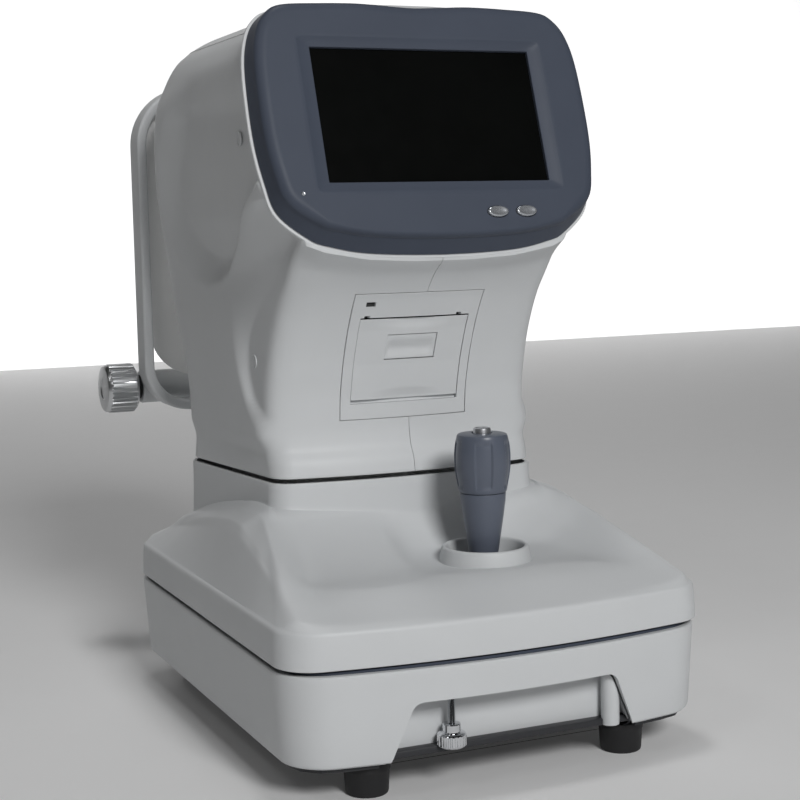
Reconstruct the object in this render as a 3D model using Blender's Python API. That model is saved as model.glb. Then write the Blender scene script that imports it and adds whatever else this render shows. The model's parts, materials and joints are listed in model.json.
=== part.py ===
"""Autorefractor: a table-top eye refraction tester, as separate pieces.

All the sizes below are millimetres.  X points to the operator's right, Y from the operator to the
patient, measured from the front of the base, and Z up from the table.  Objects are made in metres,
with the origin at the middle of the instrument's footprint.
"""
import math

import bmesh
import bpy
from mathutils import Matrix, Vector

MM = 0.001
DEPTH = 472.0                 # front of the base to the back of the chin cup
GAP = 0.3                     # clearance between pieces that touch

# Base, which stands on the table
FOOT_RADIUS, FOOT_TOP = 14.5, 19.6
FEET = {"front_left": (-88.5, 33.0), "front_right": (88.5, 33.0),
        "rear_left": (-104.0, 320.0), "rear_right": (104.0, 320.0)}
BASE_BOTTOM, BASE_TOP, BASE_WALL = 23.0, 79.5, 3.5
NOTCH_TOP, NOTCH_HALF_TOP, NOTCH_HALF_BOTTOM = 59.0, 68.0, 83.0
RECESS_FRONT, RECESS_REAR = 10.5, 24.0
DECK_BOTTOM, DECK_TOP = 75.5, 78.2
LOCK_AT = (-41.0, 13.0)       # transport lock screw

# Cross slide that carries the stage
AXLE_Y, AXLE_Z, AXLE_RADIUS = 190.0, 93.0, 5.0
RAIL_X, RAIL_TOP = 80.0, 83.7
WHEEL_RADIUS = AXLE_Z - RAIL_TOP - GAP

# Stage: the moving cover with the joystick
STAGE_BOTTOM, STAGE_WALL = 82.5, 3.0
PLATE_BOTTOM, PLATE_TOP = 104.0, 107.0
COLLAR_TOP = 168.5
STICK_AT = (27.5, 101.0)
STICK_PIVOT_Z = 105.5
RING_BOTTOM, RING_TOP = 120.5, 128.3
GRIP_BOTTOM, GRIP_TOP = 161.3, 201.5

# Head: the measuring unit that rises on two posts
HEAD_BOTTOM, HEAD_WALL = 171.4, 3.0
SHELL_TOP = 464.0             # seam between the side shells and the top cover
LIFT_AT_Y = 280.0             # line of the guide posts and the lift screw
POST_X, POST_RADIUS = 60.0, 5.0
OPTIC_Z = 392.0

# Screen, in a plane that leans back
SCREEN_MIDDLE = (0.0, 111.85, 407.25)
SCREEN_TILT = math.radians(19.05)
SCREEN_WIDTH, SCREEN_HEIGHT = 154.1, 90.1
BEZEL_DEPTH = 18.0
BUTTON_AT = {"print_button": (34.6, -66.5), "reset_button": (55.1, -66.5)}

# Printer in the front of the neck
PRINTER_X = -3.0
PRINTER_BOTTOM, PRINTER_TOP, PRINTER_HALF = 208.0, 293.0, 46.0
PRINTER_BOW = 3.2             # how far its sides stand behind its middle
DOOR_BOTTOM, DOOR_TOP, DOOR_HALF = 221.0, 276.0, 39.0
ROLL_AT = (178.0, 244.5)      # y and z of the paper roll's middle
ROLL_RADIUS = 21.0

# Head rest and chin rest, on the patient's side
FRAME_FRONT, FRAME_REAR = 404.0, 426.4
FRAME_HALF, FRAME_BOTTOM, FRAME_TOP = 115.5, 193.0, 446.0
COLUMN_HALF, COLUMN_FRONT, COLUMN_REAR, COLUMN_TOP = 24.0, 429.0, 463.0, 228.0
CHIN_AXIS = (440.0, 210.0)    # y and z of the chin knob's shaft
CHIN_ROLLER = 7.0

# Outline levels of the neck and head:
# height, front, front half width, bow, front corner, rear half width, rear, rear corner
BODY_LEVELS = [
    (171.4, 149.5, 96.5, 8.8, 17.0, 110.5, 313.0, 24.0),
    (181.0, 151.7, 96.5, 8.8, 17.0, 109.5, 313.5, 24.0),
    (191.0, 156.7, 96.0, 8.3, 18.0, 108.5, 314.5, 24.0),
    (204.0, 158.5, 96.0, 8.0, 18.0, 108.5, 316.0, 24.0),
    (222.0, 157.0, 96.0, 8.0, 20.0, 109.0, 319.0, 26.0),
    (245.0, 150.8, 96.0, 8.0, 22.0, 109.5, 327.0, 26.0),
    (268.0, 141.0, 95.5, 7.5, 24.0, 111.0, 339.0, 28.0),
    (290.0, 127.8, 95.0, 7.0, 24.0, 112.5, 350.0, 28.0),
    (306.0, 113.0, 98.0, 5.0, 22.0, 114.0, 356.0, 30.0),
    (316.0, 99.8, 104.0, 0.0, 26.0, 115.0, 359.5, 30.0),
    (330.0, 104.6, 110.0, 0.0, 24.0, 116.0, 363.0, 30.0),
    (345.0, 109.8, 115.0, 0.0, 14.0, 117.3, 365.0, 30.0),
    (365.0, 116.7, 117.0, 0.0, 6.0, 118.5, 368.0, 30.0),
    (392.0, 126.0, 118.5, 0.0, 4.0, 119.0, 369.0, 30.0),
    (420.0, 135.7, 118.0, 0.0, 4.0, 117.5, 368.0, 32.0),
    (442.0, 143.3, 113.0, 0.0, 5.0, 110.0, 366.0, 34.0),
    (456.0, 148.1, 104.5, 0.0, 8.0, 102.0, 365.0, 36.0),
    (SHELL_TOP, 150.9, 97.0, 0.0, 10.0, 93.0, 364.0, 38.0)]
CROWN_LEVELS = [
    (SHELL_TOP + GAP, 151.0, 97.0, 0.0, 10.0, 93.0, 364.0, 38.0),
    (471.0, 153.3, 86.0, 0.0, 12.0, 82.0, 360.0, 44.0),
    (477.0, 156.0, 71.0, 0.0, 14.0, 66.0, 351.0, 44.0),
    (481.5, 170.0, 54.0, 0.0, 16.0, 50.0, 334.0, 36.0),
    (485.0, 194.0, 36.0, 0.0, 14.0, 34.0, 310.0, 24.0),
    (487.0, 222.0, 16.0, 0.0, 8.0, 15.0, 280.0, 10.0)]

# Outline levels of the stage cover, from its rim to the collar.  A level's height is different at
# the front, the sides and the rear.
STAGE_LEVELS = [
    (STAGE_BOTTOM, STAGE_BOTTOM, STAGE_BOTTOM, 2.9, 144.2, 10.0, 26.0, 144.2, 346.9, 26.0),
    (103.0, 103.0, 103.0, 4.0, 143.3, 10.0, 26.0, 143.3, 346.5, 26.0),
    (105.6, 105.8, 105.6, 6.5, 141.0, 9.5, 25.0, 141.0, 344.0, 25.0),
    (113.5, 119.0, 112.5, 40.0, 129.0, 9.0, 25.0, 130.0, 334.0, 24.0),
    (118.3, 131.0, 116.0, 74.0, 121.5, 9.0, 24.0, 123.0, 326.0, 24.0),
    (119.8, 144.0, 121.0, 134.4, 112.0, 8.0, 20.0, 117.5, 321.0, 22.0),
    (132.0, 150.0, 128.0, 143.3, 104.0, 8.0, 18.0, 114.5, 318.0, 22.0),
    (147.0, 154.5, 140.0, 148.3, 98.6, 8.6, 17.0, 112.0, 315.5, 22.0),
    (COLLAR_TOP, COLLAR_TOP, COLLAR_TOP, 149.2, 97.8, 8.8, 17.0, 111.5, 314.5, 22.0)]


# ---------------------------------------------------------------- scene and materials

def clear_scene():
    for item in list(bpy.data.objects):
        bpy.data.objects.remove(item, do_unlink=True)


def material(name, colour, roughness, metallic=0.0):
    found = bpy.data.materials.get(name)
    if found:
        return found
    made = bpy.data.materials.new(name)
    made.use_nodes = True
    shader = made.node_tree.nodes["Principled BSDF"]
    shader.inputs["Base Color"].default_value = (*colour, 1.0)
    shader.inputs["Roughness"].default_value = roughness
    shader.inputs["Metallic"].default_value = metallic
    made.diffuse_color = (*colour, 1.0)
    return made


PAINT = {
    "shell": ((0.72, 0.73, 0.72), 0.42, 0.0), "slate": ((0.07, 0.083, 0.108), 0.4, 0.0),
    "dark": ((0.04, 0.042, 0.046), 0.5, 0.0), "steel": ((0.55, 0.56, 0.58), 0.32, 1.0),
    "chrome": ((0.75, 0.76, 0.78), 0.12, 1.0), "rubber": ((0.02, 0.02, 0.02), 0.8, 0.0),
    "screen": ((0.004, 0.004, 0.005), 0.08, 0.0), "glass": ((0.3, 0.33, 0.4), 0.05, 0.0),
    "pad": ((0.78, 0.78, 0.76), 0.6, 0.0),
    "panel": ((0.62, 0.63, 0.62), 0.5, 0.0), "silver": ((0.5, 0.52, 0.54), 0.3, 0.7),
    "paper": ((0.9, 0.9, 0.88), 0.9, 0.0)}


def place(x, y, z):
    """A point in metres, from millimetres measured at the front of the base."""
    return Vector((x, y - DEPTH / 2, z)) * MM


def finish(name, body, paint, pivot=(0.0, DEPTH / 2, 0.0), smooth=35):
    """Make a named object of a bmesh in millimetres, with its origin at the pivot."""
    bmesh.ops.remove_doubles(body, verts=body.verts, dist=0.0005)
    bmesh.ops.recalc_face_normals(body, faces=body.faces)
    for vertex in body.verts:
        vertex.co = place(*vertex.co) - place(*pivot)
    mesh = bpy.data.meshes.new(name)
    body.to_mesh(mesh)
    body.free()
    mesh.shade_smooth()
    mesh.set_sharp_from_angle(angle=math.radians(smooth))
    mesh.materials.append(material(paint, *PAINT[paint]))
    made = bpy.data.objects.new(name, mesh)
    made.location = place(*pivot)
    bpy.context.scene.collection.objects.link(made)
    return made


def cut(target, name, body):
    """Take the closed bmesh away from the target with an exact Boolean."""
    cutter = finish(name, body, "dark")
    cutter.hide_render = True
    cutter.display_type = "WIRE"
    modifier = target.modifiers.new(name, "BOOLEAN")
    modifier.operation = "DIFFERENCE"
    modifier.solver = "EXACT"
    modifier.object = cutter


# ---------------------------------------------------------------- shapes

def box(x0, x1, y0, y1, z0, z1):
    return prism([(x0, y0), (x1, y0), (x1, y1), (x0, y1)], z0, z1, "Z")


def prism(outline, low, high, along):
    """A flat outline, given in the other two axes in X, Y, Z order, run along one axis."""
    build = {"X": lambda a, b, t: (t, a, b), "Y": lambda a, b, t: (a, t, b),
             "Z": lambda a, b, t: (a, b, t)}[along]
    rings = [[build(a, b, t) for a, b in outline] for t in (low, high)]
    return loft(rings)


def loft(rings, closed_path=False):
    """Skin a list of closed rings of equal length, and cap both ends or close it on itself."""
    body = bmesh.new()
    rows = [[body.verts.new(p) for p in ring] for ring in rings]
    count = len(rings[0])
    last = len(rows) if closed_path else len(rows) - 1
    for i in range(last):
        near, far = rows[i], rows[(i + 1) % len(rows)]
        for j in range(count):
            k = (j + 1) % count
            body.faces.new((near[j], near[k], far[k], far[j]))
    if not closed_path:
        body.faces.new(list(reversed(rows[0])))
        body.faces.new(rows[-1])
    return body


def turned(profile, centre, along="Z", sides=24, hollow=False):
    """A profile of (radius, height) spun about an axis through the centre.

    A solid profile runs from one end of the axis to the other; a hollow one is a closed loop.
    """
    rings = []
    for radius, height in profile:
        ring = []
        for k in range(sides):
            a = 2 * math.pi * k / sides
            c, s = radius * math.cos(a), radius * math.sin(a)
            offset = {"Z": (c, s, height), "Y": (s, height, c), "X": (height, c, s)}[along]
            ring.append(tuple(centre[i] + offset[i] for i in range(3)))
        rings.append(ring)
    return loft(rings, closed_path=hollow)


def tube(outer, inner, low, high, centre, along="Z", sides=24):
    return turned([(outer, low), (outer, high), (inner, high), (inner, low)],
                  centre, along, sides, hollow=True)


def half_plan(front, half_front, bow, corner, half_rear, rear, rear_corner, steps=4):
    """Right half of a rounded outline, from the middle of the front to the middle of the rear."""
    straight = half_front - corner
    points = [(0.0, front), (straight / 2, front + bow / 4)]
    for k in range(steps + 1):
        a = math.radians(-90 + 90 * k / steps)
        points.append((straight + corner * math.cos(a), front + bow + corner * (1 + math.sin(a))))
    points.append(((half_front + half_rear) / 2, (front + bow + corner + rear - rear_corner) / 2))
    for k in range(steps + 1):
        a = math.radians(90 * k / steps)
        points.append((half_rear - rear_corner * (1 - math.cos(a)),
                       rear - rear_corner * (1 - math.sin(a))))
    points += [((half_rear - rear_corner) / 2, rear), (0.0, rear)]
    return points


def whole_plan(*sizes, steps=4):
    """The whole outline: see half_plan for the sizes."""
    right = half_plan(*sizes, steps=steps)
    return right + [(-x, y) for x, y in reversed(right[1:-1])]


def inset(sizes, amount):
    """The same outline, smaller all round."""
    front, half_front, bow, corner, half_rear, rear, rear_corner = sizes
    return (front + amount, half_front - amount, bow, max(corner - amount, 1.0),
            half_rear - amount, rear - amount, max(rear_corner - amount, 1.0))


def sheet(outer, inner, closed, cap=None):
    """A wall between two grids of points.  cap closes the first or the last row of a closed wall."""
    body = bmesh.new()
    grids = [[[body.verts.new(p) for p in row] for row in grid] for grid in (outer, inner)]
    rows, count = len(outer), len(outer[0])
    reach = count if closed else count - 1
    for grid in grids:
        for i in range(rows - 1):
            for j in range(reach):
                k = (j + 1) % count
                body.faces.new((grid[i][j], grid[i][k], grid[i + 1][k], grid[i + 1][j]))
    for end, row in (("first", 0), ("last", rows - 1)):
        if cap == end:
            body.faces.new(grids[0][row])
            body.faces.new(grids[1][row])
        else:
            for j in range(reach):
                k = (j + 1) % count
                body.faces.new((grids[0][row][j], grids[0][row][k],
                                grids[1][row][k], grids[1][row][j]))
    if not closed:
        for j in (0, count - 1):
            for i in range(rows - 1):
                body.faces.new((grids[0][i][j], grids[0][i + 1][j],
                                grids[1][i + 1][j], grids[1][i][j]))
    return body


def body_front(z):
    """Y of the middle of the neck's front at a height."""
    for low, high in zip(BODY_LEVELS, BODY_LEVELS[1:]):
        if low[0] <= z <= high[0]:
            t = (z - low[0]) / (high[0] - low[0])
            return low[1] + t * (high[1] - low[1])
    return BODY_LEVELS[0][1]


# ---------------------------------------------------------------- base

def make_feet():
    for name, (x, y) in FEET.items():
        profile = [(FOOT_RADIUS - 1.6, 0.0), (FOOT_RADIUS - 0.9, 1.0), (FOOT_RADIUS, FOOT_TOP)]
        finish("foot_" + name, turned(profile, (x, y, 0.0)), "rubber")


def make_base_plate():
    outline = whole_plan(7.5, 135.0, 9.7, 26.0, 135.0, 345.0, 26.0, steps=3)
    plate = finish("base_plate", prism(outline, FOOT_TOP + GAP, BASE_BOTTOM - GAP, "Z"), "dark")
    cut(plate, "plate_notch", box(-88, 88, 0, RECESS_REAR + 0.6, 15, 30))


def make_base_tray():
    levels = [(BASE_BOTTOM, (4.3, 138.8, 9.7, 30.0, 138.8, 349.0, 30.0)),
              (BASE_BOTTOM + 2, (2.7, 140.4, 9.7, 31.0, 140.4, 350.5, 31.0)),
              (BASE_TOP - 2, (0.1, 143.7, 10.6, 33.0, 143.7, 354.6, 33.0)),
              (BASE_TOP, (0.9, 142.9, 10.6, 32.0, 142.9, 353.8, 32.0))]
    outer = [[(x, y, z) for x, y in whole_plan(*sizes)] for z, sizes in levels]
    inner_z = [BASE_BOTTOM + BASE_WALL, BASE_BOTTOM + BASE_WALL + 2, BASE_TOP - 2, BASE_TOP]
    inner = [[(x, y, z) for x, y in whole_plan(*inset(sizes, BASE_WALL))]
             for z, (_, sizes) in zip(inner_z, levels)]
    tray = finish("base_tray", sheet(outer, inner, closed=True, cap="first"), "shell")
    front = [(-NOTCH_HALF_BOTTOM - 3, 15), (NOTCH_HALF_BOTTOM + 3, 15),
             (NOTCH_HALF_TOP, NOTCH_TOP), (-NOTCH_HALF_TOP, NOTCH_TOP)]
    cut(tray, "tray_notch", prism(front, -5, RECESS_FRONT - 0.2, "Y"))
    behind = [(-NOTCH_HALF_BOTTOM - 5, 15), (NOTCH_HALF_BOTTOM + 5, 15), (NOTCH_HALF_BOTTOM + 5, 50),
              (-NOTCH_HALF_BOTTOM - 5, 50)]
    cut(tray, "tray_recess", prism(behind, RECESS_FRONT - 1.0, RECESS_REAR + 0.4, "Y"))
    cut(tray, "tray_inlet", box(29.8, 85.2, 340, 365, 39.3, 60.7))


def make_screw_recess():
    """Pocket behind the notch, open to the front and below, with a hole for the lock screw."""
    def trapezium(grow):
        right = [(NOTCH_HALF_TOP + grow, NOTCH_TOP + grow), (NOTCH_HALF_BOTTOM + grow, BASE_BOTTOM + 0.2)]
        return [(-x, z) for x, z in reversed(right)] + right

    pocket = finish("screw_recess", prism(trapezium(2.2), RECESS_FRONT, RECESS_REAR, "Y"), "shell")
    inner = trapezium(0.2)
    inner[0] = (inner[0][0] - 1, 15)
    inner[3] = (inner[3][0] + 1, 15)
    cut(pocket, "recess_hollow", prism(inner, RECESS_FRONT - 4, RECESS_REAR - 2, "Y"))
    cut(pocket, "recess_hole", turned([(2.9, 50), (2.9, 70)], (*LOCK_AT, 0)))


def make_base_deck():
    outline = whole_plan(4.9, 138.8, 10.6, 28.0, 138.8, 350.0, 28.0, steps=3)
    deck = finish("base_deck", prism(outline, DECK_BOTTOM, DECK_TOP, "Z"), "dark")
    cut(deck, "deck_hole", turned([(2.9, 70), (2.9, 85)], (*LOCK_AT, 0)))


def make_rails():
    for side, sign in (("left", -1), ("right", 1)):
        outline = [(-5, DECK_TOP + GAP), (5, DECK_TOP + GAP), (5, RAIL_TOP - 1), (4, RAIL_TOP),
                   (-4, RAIL_TOP), (-5, RAIL_TOP - 1)]
        outline = [(sign * RAIL_X + x, z) for x, z in outline]
        finish("rail_" + side, prism(outline, AXLE_Y - 42, AXLE_Y + 42, "Y"), "steel")


def make_power_parts():
    finish("power_supply", box(-60, 60, 180, 300, BASE_BOTTOM + BASE_WALL + GAP, 62), "silver")
    inlet = finish("power_inlet", box(30.2, 84.8, 338, 356.0, 39.7, 60.3), "dark")
    cut(inlet, "inlet_socket", box(56, 82, 344, 360, 42.5, 57.5))
    cut(inlet, "inlet_switch", box(33, 49, 347.5, 360, 43, 57))
    rocker = [(349.3, 44.0), (356.2, 43.8), (354.9, 50.0), (356.2, 56.2), (349.3, 56.0)]
    finish("power_rocker", prism(rocker, 33.7, 48.3, "X"), "dark", pivot=(41, 350.5, 50))


def make_lock_screw():
    """Rod and knurled head of the transport lock, with its top end below the stage."""
    rod = [(2.3, 41.6), (2.3, 78.6), (1.6, 79.4)]
    finish("lock_screw_rod", turned(rod, (*LOCK_AT, 0), sides=12), "chrome", pivot=(*LOCK_AT, 40))
    head = [(7.6, 26.6), (8.9, 27.6), (8.9, 34.6), (8.0, 35.6), (5.5, 35.9), (5.5, 41.2)]
    finish("lock_screw_knob", turned(head, (*LOCK_AT, 0), sides=24), "chrome", pivot=(*LOCK_AT, 34))


# ---------------------------------------------------------------- head rest and chin rest

def loop_outline(half, low, high, low_corner, high_corner):
    """Rounded outline in X and Z, with its own corner radius at the bottom and at the top."""
    points = []
    corners = ((1, low + low_corner, low_corner, -90), (1, high - high_corner, high_corner, 0),
               (-1, high - high_corner, high_corner, 90), (-1, low + low_corner, low_corner, 180))
    for sign, cz, radius, start in corners:
        cx = sign * (half - radius)
        for k in range(7):
            a = math.radians(start + 15 * k)
            points.append((cx + radius * math.cos(a), cz + radius * math.sin(a)))
    return points


def frame_outline(grow):
    return loop_outline(FRAME_HALF + grow, FRAME_BOTTOM - grow, FRAME_TOP + grow, 36 + grow, 46 + grow)


def make_face_frame():
    rings = []
    for grow, y in ((-1.5, FRAME_FRONT), (0, FRAME_FRONT + 2), (0, FRAME_REAR - 2), (-1.5, FRAME_REAR),
                    (-6.5, FRAME_REAR), (-8, FRAME_REAR - 2), (-8, FRAME_FRONT + 2),
                    (-6.5, FRAME_FRONT)):
        rings.append([(x, y, z) for x, z in frame_outline(grow)])
    finish("face_frame", loft(rings, closed_path=True), "shell")


def make_face_panel():
    """Thin panel inside the frame, with the opening for the patient's face."""
    outer = loop_outline(FRAME_HALF - 8.4, 220.0, FRAME_TOP - 8.4, 36.0, 37.6)
    inner = loop_outline(74.0, 240.0, 424.0, 55.0, 55.0)
    rings = [[(x, y, z) for x, z in line]
             for line, y in ((outer, 414.0), (outer, 417.0), (inner, 417.0), (inner, 414.0))]
    finish("face_panel", loft(rings, closed_path=True), "panel")


def make_forehead_pad():
    rings = []
    for x in (-58, -54, -30, 0, 30, 54, 58):
        end = 1.0 if abs(x) == 58 else 0.0
        back = 417.4
        front = back + 12 - 4 * end - 0.0012 * x * x
        rings.append([(x, back, 424 + 2 * end), (x, front - 2, 424 + 2 * end), (x, front, 429),
                      (x, front - 2, 436 - 2 * end), (x, back, 436 - 2 * end)])
    finish("forehead_pad", loft(rings), "pad")


def make_chinrest_bracket():
    outline = [(355.4, 30), (COLUMN_REAR, 30), (COLUMN_REAR, COLUMN_TOP),
               (COLUMN_FRONT, COLUMN_TOP), (COLUMN_FRONT, 54), (355.4, 54)]
    bracket = finish("chinrest_bracket", prism(outline, -COLUMN_HALF, COLUMN_HALF, "X"), "shell")
    cut(bracket, "post_slot", box(-9.5, 9.5, 446, 460, 110, 240))
    cut(bracket, "roller_slot", box(-10.5, 10.5, 431.5, 447, 201, 240))
    cut(bracket, "shaft_hole", turned([(4.6, -30), (4.6, 14)], (0, *CHIN_AXIS), "X"))


def make_chin_bushing():
    finish("chin_bushing", tube(13.0, 4.6, -112.4, -COLUMN_HALF - GAP, (0, *CHIN_AXIS), "X"), "shell")


def make_chin_drive():
    """Shaft with the roller that lifts the post, and its knob."""
    y, z = CHIN_AXIS
    shaft = [(3.6, -116.0), (3.6, -8.2), (CHIN_ROLLER, -8.0), (CHIN_ROLLER, 8.0), (3.6, 8.2),
             (3.6, 13.0)]
    finish("chin_shaft", turned(shaft, (0, y, z), "X"), "steel", pivot=(0, y, z))
    knob = [(17.5, -143.6), (19.5, -141.0), (19.5, -118.6), (17.5, -116.4)]
    finish("chin_knob", turned(knob, (0, y, z), "X", 36), "steel", pivot=(-130, y, z))


def make_chin_rest():
    finish("chin_post", box(-8.5, 8.5, 447.4, 458.8, 122, 262), "steel")
    rings = []
    for half, deep, z in ((14, 9, 262.3), (34, 17, 268), (41, 21, 284), (38.5, 18.5, 285),
                          (36, 16, 280), (20, 9, 270)):
        rise = 2.5 if z > 275 else 0.0
        ring = []
        for k in range(28):
            c, s = math.cos(2 * math.pi * k / 28), math.sin(2 * math.pi * k / 28)
            ring.append((half * c, 451 + deep * s + 0.0006 * (half * c) ** 2, z + rise * c * c))
        rings.append(ring)
    finish("chin_cup", loft(rings), "pad")


# ---------------------------------------------------------------- cross slide

def make_carriage():
    bar = finish("carriage_bridge", box(-93, 93, AXLE_Y - 9, AXLE_Y + 24, 86, 100), "silver")
    cut(bar, "bridge_gap", box(-86.5, 86.5, AXLE_Y - 20, AXLE_Y + 15, 80, 110))
    cut(bar, "bridge_bore", turned([(5.4, -100), (5.4, 100)], (0, AXLE_Y, AXLE_Z), "X"))
    centre = (0, AXLE_Y, AXLE_Z)
    axle = [(4.2, -95), (AXLE_RADIUS, -94), (AXLE_RADIUS, 94), (4.2, 95)]
    finish("cross_axle", turned(axle, centre, "X"), "steel", pivot=centre)
    for side, sign in (("left", -1), ("right", 1)):
        x = sign * RAIL_X
        wheel = [(WHEEL_RADIUS - 0.6, x - 4), (WHEEL_RADIUS, x - 3.4), (WHEEL_RADIUS, x + 3.4),
                 (WHEEL_RADIUS - 0.6, x + 4), (5.4, x + 4), (5.4, x - 4)]
        finish("track_wheel_" + side, turned(wheel, centre, "X", hollow=True), "dark", pivot=centre)


# ---------------------------------------------------------------- stage

def stage_ring(level, thickness):
    """One level of the stage cover: its height depends on which way the outline faces."""
    front_z, side_z, rear_z, *sizes = level
    plan = whole_plan(*inset(sizes, thickness))
    ring = []
    for i, (x, y) in enumerate(plan):
        ahead, behind = plan[(i + 1) % len(plan)], plan[i - 1]
        facing = Vector((ahead[1] - behind[1], behind[0] - ahead[0])).normalized()
        side = facing.x ** 2
        end_z = front_z if facing.y < 0 else rear_z
        ring.append((x, y, side * side_z + (1 - side) * end_z))
    return ring


def make_stage_cover():
    outer = [stage_ring(level, 0.0) for level in STAGE_LEVELS]
    inner = []
    last = len(STAGE_LEVELS) - 1
    for i, level in enumerate(STAGE_LEVELS):
        drop = 0.0 if i in (0, last) else 2.8
        inner.append([(x, y, z - drop) for x, y, z in stage_ring(level, STAGE_WALL)])
    cover = finish("stage_cover", sheet(outer, inner, closed=True), "shell")
    cut(cover, "stick_hole", turned([(26, 100), (26, 140)], (*STICK_AT, 0), sides=28))


def make_stage_inside():
    outline = whole_plan(40.0, 118.0, 6.0, 20.0, 118.0, 300.0, 20.0, steps=2)
    plate = finish("stage_plate", prism(outline, PLATE_BOTTOM, PLATE_TOP, "Z"), "silver")
    cut(plate, "plate_stick_hole", turned([(14, 100), (14, 110)], (*STICK_AT, 0)))
    block = finish("slide_bearing", box(-30, 30, AXLE_Y - 11, AXLE_Y + 11, 85, PLATE_BOTTOM - GAP),
                   "silver")
    cut(block, "bearing_bore", turned([(5.4, -40), (5.4, 40)], (0, AXLE_Y, AXLE_Z), "X"))
    skirt = [[(x, y, z) for x, y in whole_plan(166, 84, 4, 14, 84, 302, 14, steps=3)]
             for z in (PLATE_TOP + GAP, 204)]
    lining = [[(x, y, z) for x, y in whole_plan(168.5, 81.5, 4, 11.5, 81.5, 299.5, 11.5, steps=3)]
              for z in (PLATE_TOP + GAP, 204)]
    finish("neck_skirt", sheet(skirt, lining, closed=True), "panel")


def make_lift():
    """Guide posts and motor on the stage, and the screw that lifts the head."""
    for side, sign in (("left", -1), ("right", 1)):
        post = [(POST_RADIUS, PLATE_TOP + GAP), (POST_RADIUS, 299), (POST_RADIUS - 1, 300)]
        finish("guide_post_" + side, turned(post, (sign * POST_X, LIFT_AT_Y, 0), sides=20), "steel")
    finish("lift_motor", box(-18, 18, LIFT_AT_Y - 18, LIFT_AT_Y + 18, PLATE_TOP + GAP, 138), "dark")
    screw = [(4.0, 138.4), (4.0, 262), (3.2, 263)]
    finish("lift_screw", turned(screw, (0, LIFT_AT_Y, 0), sides=20), "steel", pivot=(0, LIFT_AT_Y, 138))


def make_joystick():
    x, y = STICK_AT
    pivot = (x, y, STICK_PIVOT_Z)
    ring = [(32.0, RING_BOTTOM), (31.4, RING_TOP - 1.2), (30.4, RING_TOP), (28.6, RING_TOP),
            (27.8, RING_TOP - 1), (27.4, RING_BOTTOM)]
    finish("joystick_ring", turned(ring, (x, y, 0), sides=40, hollow=True), "shell")
    finish("gimbal_ring", tube(13.2, 10.2, STICK_PIVOT_Z - 2, STICK_PIVOT_Z + 2, (x, y, 0)),
           "steel", pivot=pivot)
    shaft = [(2.0, 83.0), (3.6, 84.4), (3.6, 88), (5.0, 96), (7.5, 101), (7.5, 118), (9.2, 121.6),
             (10.6, 122.4), (11.2, 126), (15.6, 150), (18.9, 160.6), (18.4, 161.0), (8.0, 161.0),
             (8.0, 192.0)]
    finish("joystick_shaft", turned(shaft, (x, y, 0), sides=28), "slate", pivot=pivot)
    grip = [(19.2, GRIP_BOTTOM), (20.2, 166), (20.9, 176), (20.7, 188), (19.4, 198), (18.4, 200.6),
            (16.5, GRIP_TOP), (6.6, GRIP_TOP), (6.6, 193), (8.4, 192.4), (8.4, GRIP_BOTTOM)]
    finish("joystick_grip", turned(grip, (x, y, 0), sides=32, hollow=True), "slate", pivot=pivot)
    button = [(6.2, 193.8), (6.2, 204.4), (5.2, 205.4)]
    finish("trigger_button", turned(button, (x, y, 0), sides=20), "silver", pivot=(x, y, 200))


# ---------------------------------------------------------------- head

def half_shell(sign):
    outer, inner = [], []
    for z, *sizes in BODY_LEVELS:
        outer.append([(sign * max(x, GAP / 2), y, z) for x, y in half_plan(*sizes)])
        inner.append([(sign * max(x, GAP / 2), y, z)
                      for x, y in half_plan(*inset(sizes, HEAD_WALL))])
    return sheet(outer, inner, closed=False)


def on_screen(u, v, w):
    """A point given across, up and out from the middle of the leaning screen plane."""
    lean = Matrix.Rotation(-SCREEN_TILT, 3, "X")
    return tuple(Vector(SCREEN_MIDDLE) + lean @ Vector((u, -w, v)))


def screen_loft(outlines):
    """Skin outlines given as (points in the screen plane, height above it)."""
    return loft([[on_screen(u, v, w) for u, v in points] for points, w in outlines])


def rectangle(width, height):
    a, b = width / 2, height / 2
    return [(-a, -b), (a, -b), (a, b), (-a, b)]


def ellipse(u, v, width, height, sides=20):
    return [(u + width / 2 * math.cos(2 * math.pi * k / sides),
             v + height / 2 * math.sin(2 * math.pi * k / sides)) for k in range(sides)]


def make_side_shells():
    for name, sign in (("left_shell", -1), ("right_shell", 1)):
        shell = finish(name, half_shell(sign), "shell")
        window = turned([(37.5, 340), (37.5, 390)], (0, 0, OPTIC_Z), "Y", 28)
        cut(shell, name + "_window", window)
        printer = box(PRINTER_X - PRINTER_HALF - GAP, PRINTER_X + PRINTER_HALF + GAP, 100, 190,
                      PRINTER_BOTTOM - GAP, PRINTER_TOP + GAP)
        cut(shell, name + "_printer", printer)
        screen = screen_loft([(rectangle(150, 84), -30.0), (rectangle(150, 84), -15.0)])
        cut(shell, name + "_screen", screen)


def make_top_cover():
    outer = [[(x, y, z) for x, y in whole_plan(*sizes)] for z, *sizes in CROWN_LEVELS]
    inner_z = [SHELL_TOP + GAP, 468.4, 474.0, 478.4, 481.8, 483.8]
    inner = [[(x, y, z) for x, y in whole_plan(*inset(sizes, HEAD_WALL))]
             for z, (_, *sizes) in zip(inner_z, CROWN_LEVELS)]
    finish("top_cover", sheet(outer, inner, closed=True, cap="last"), "shell")


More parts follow.
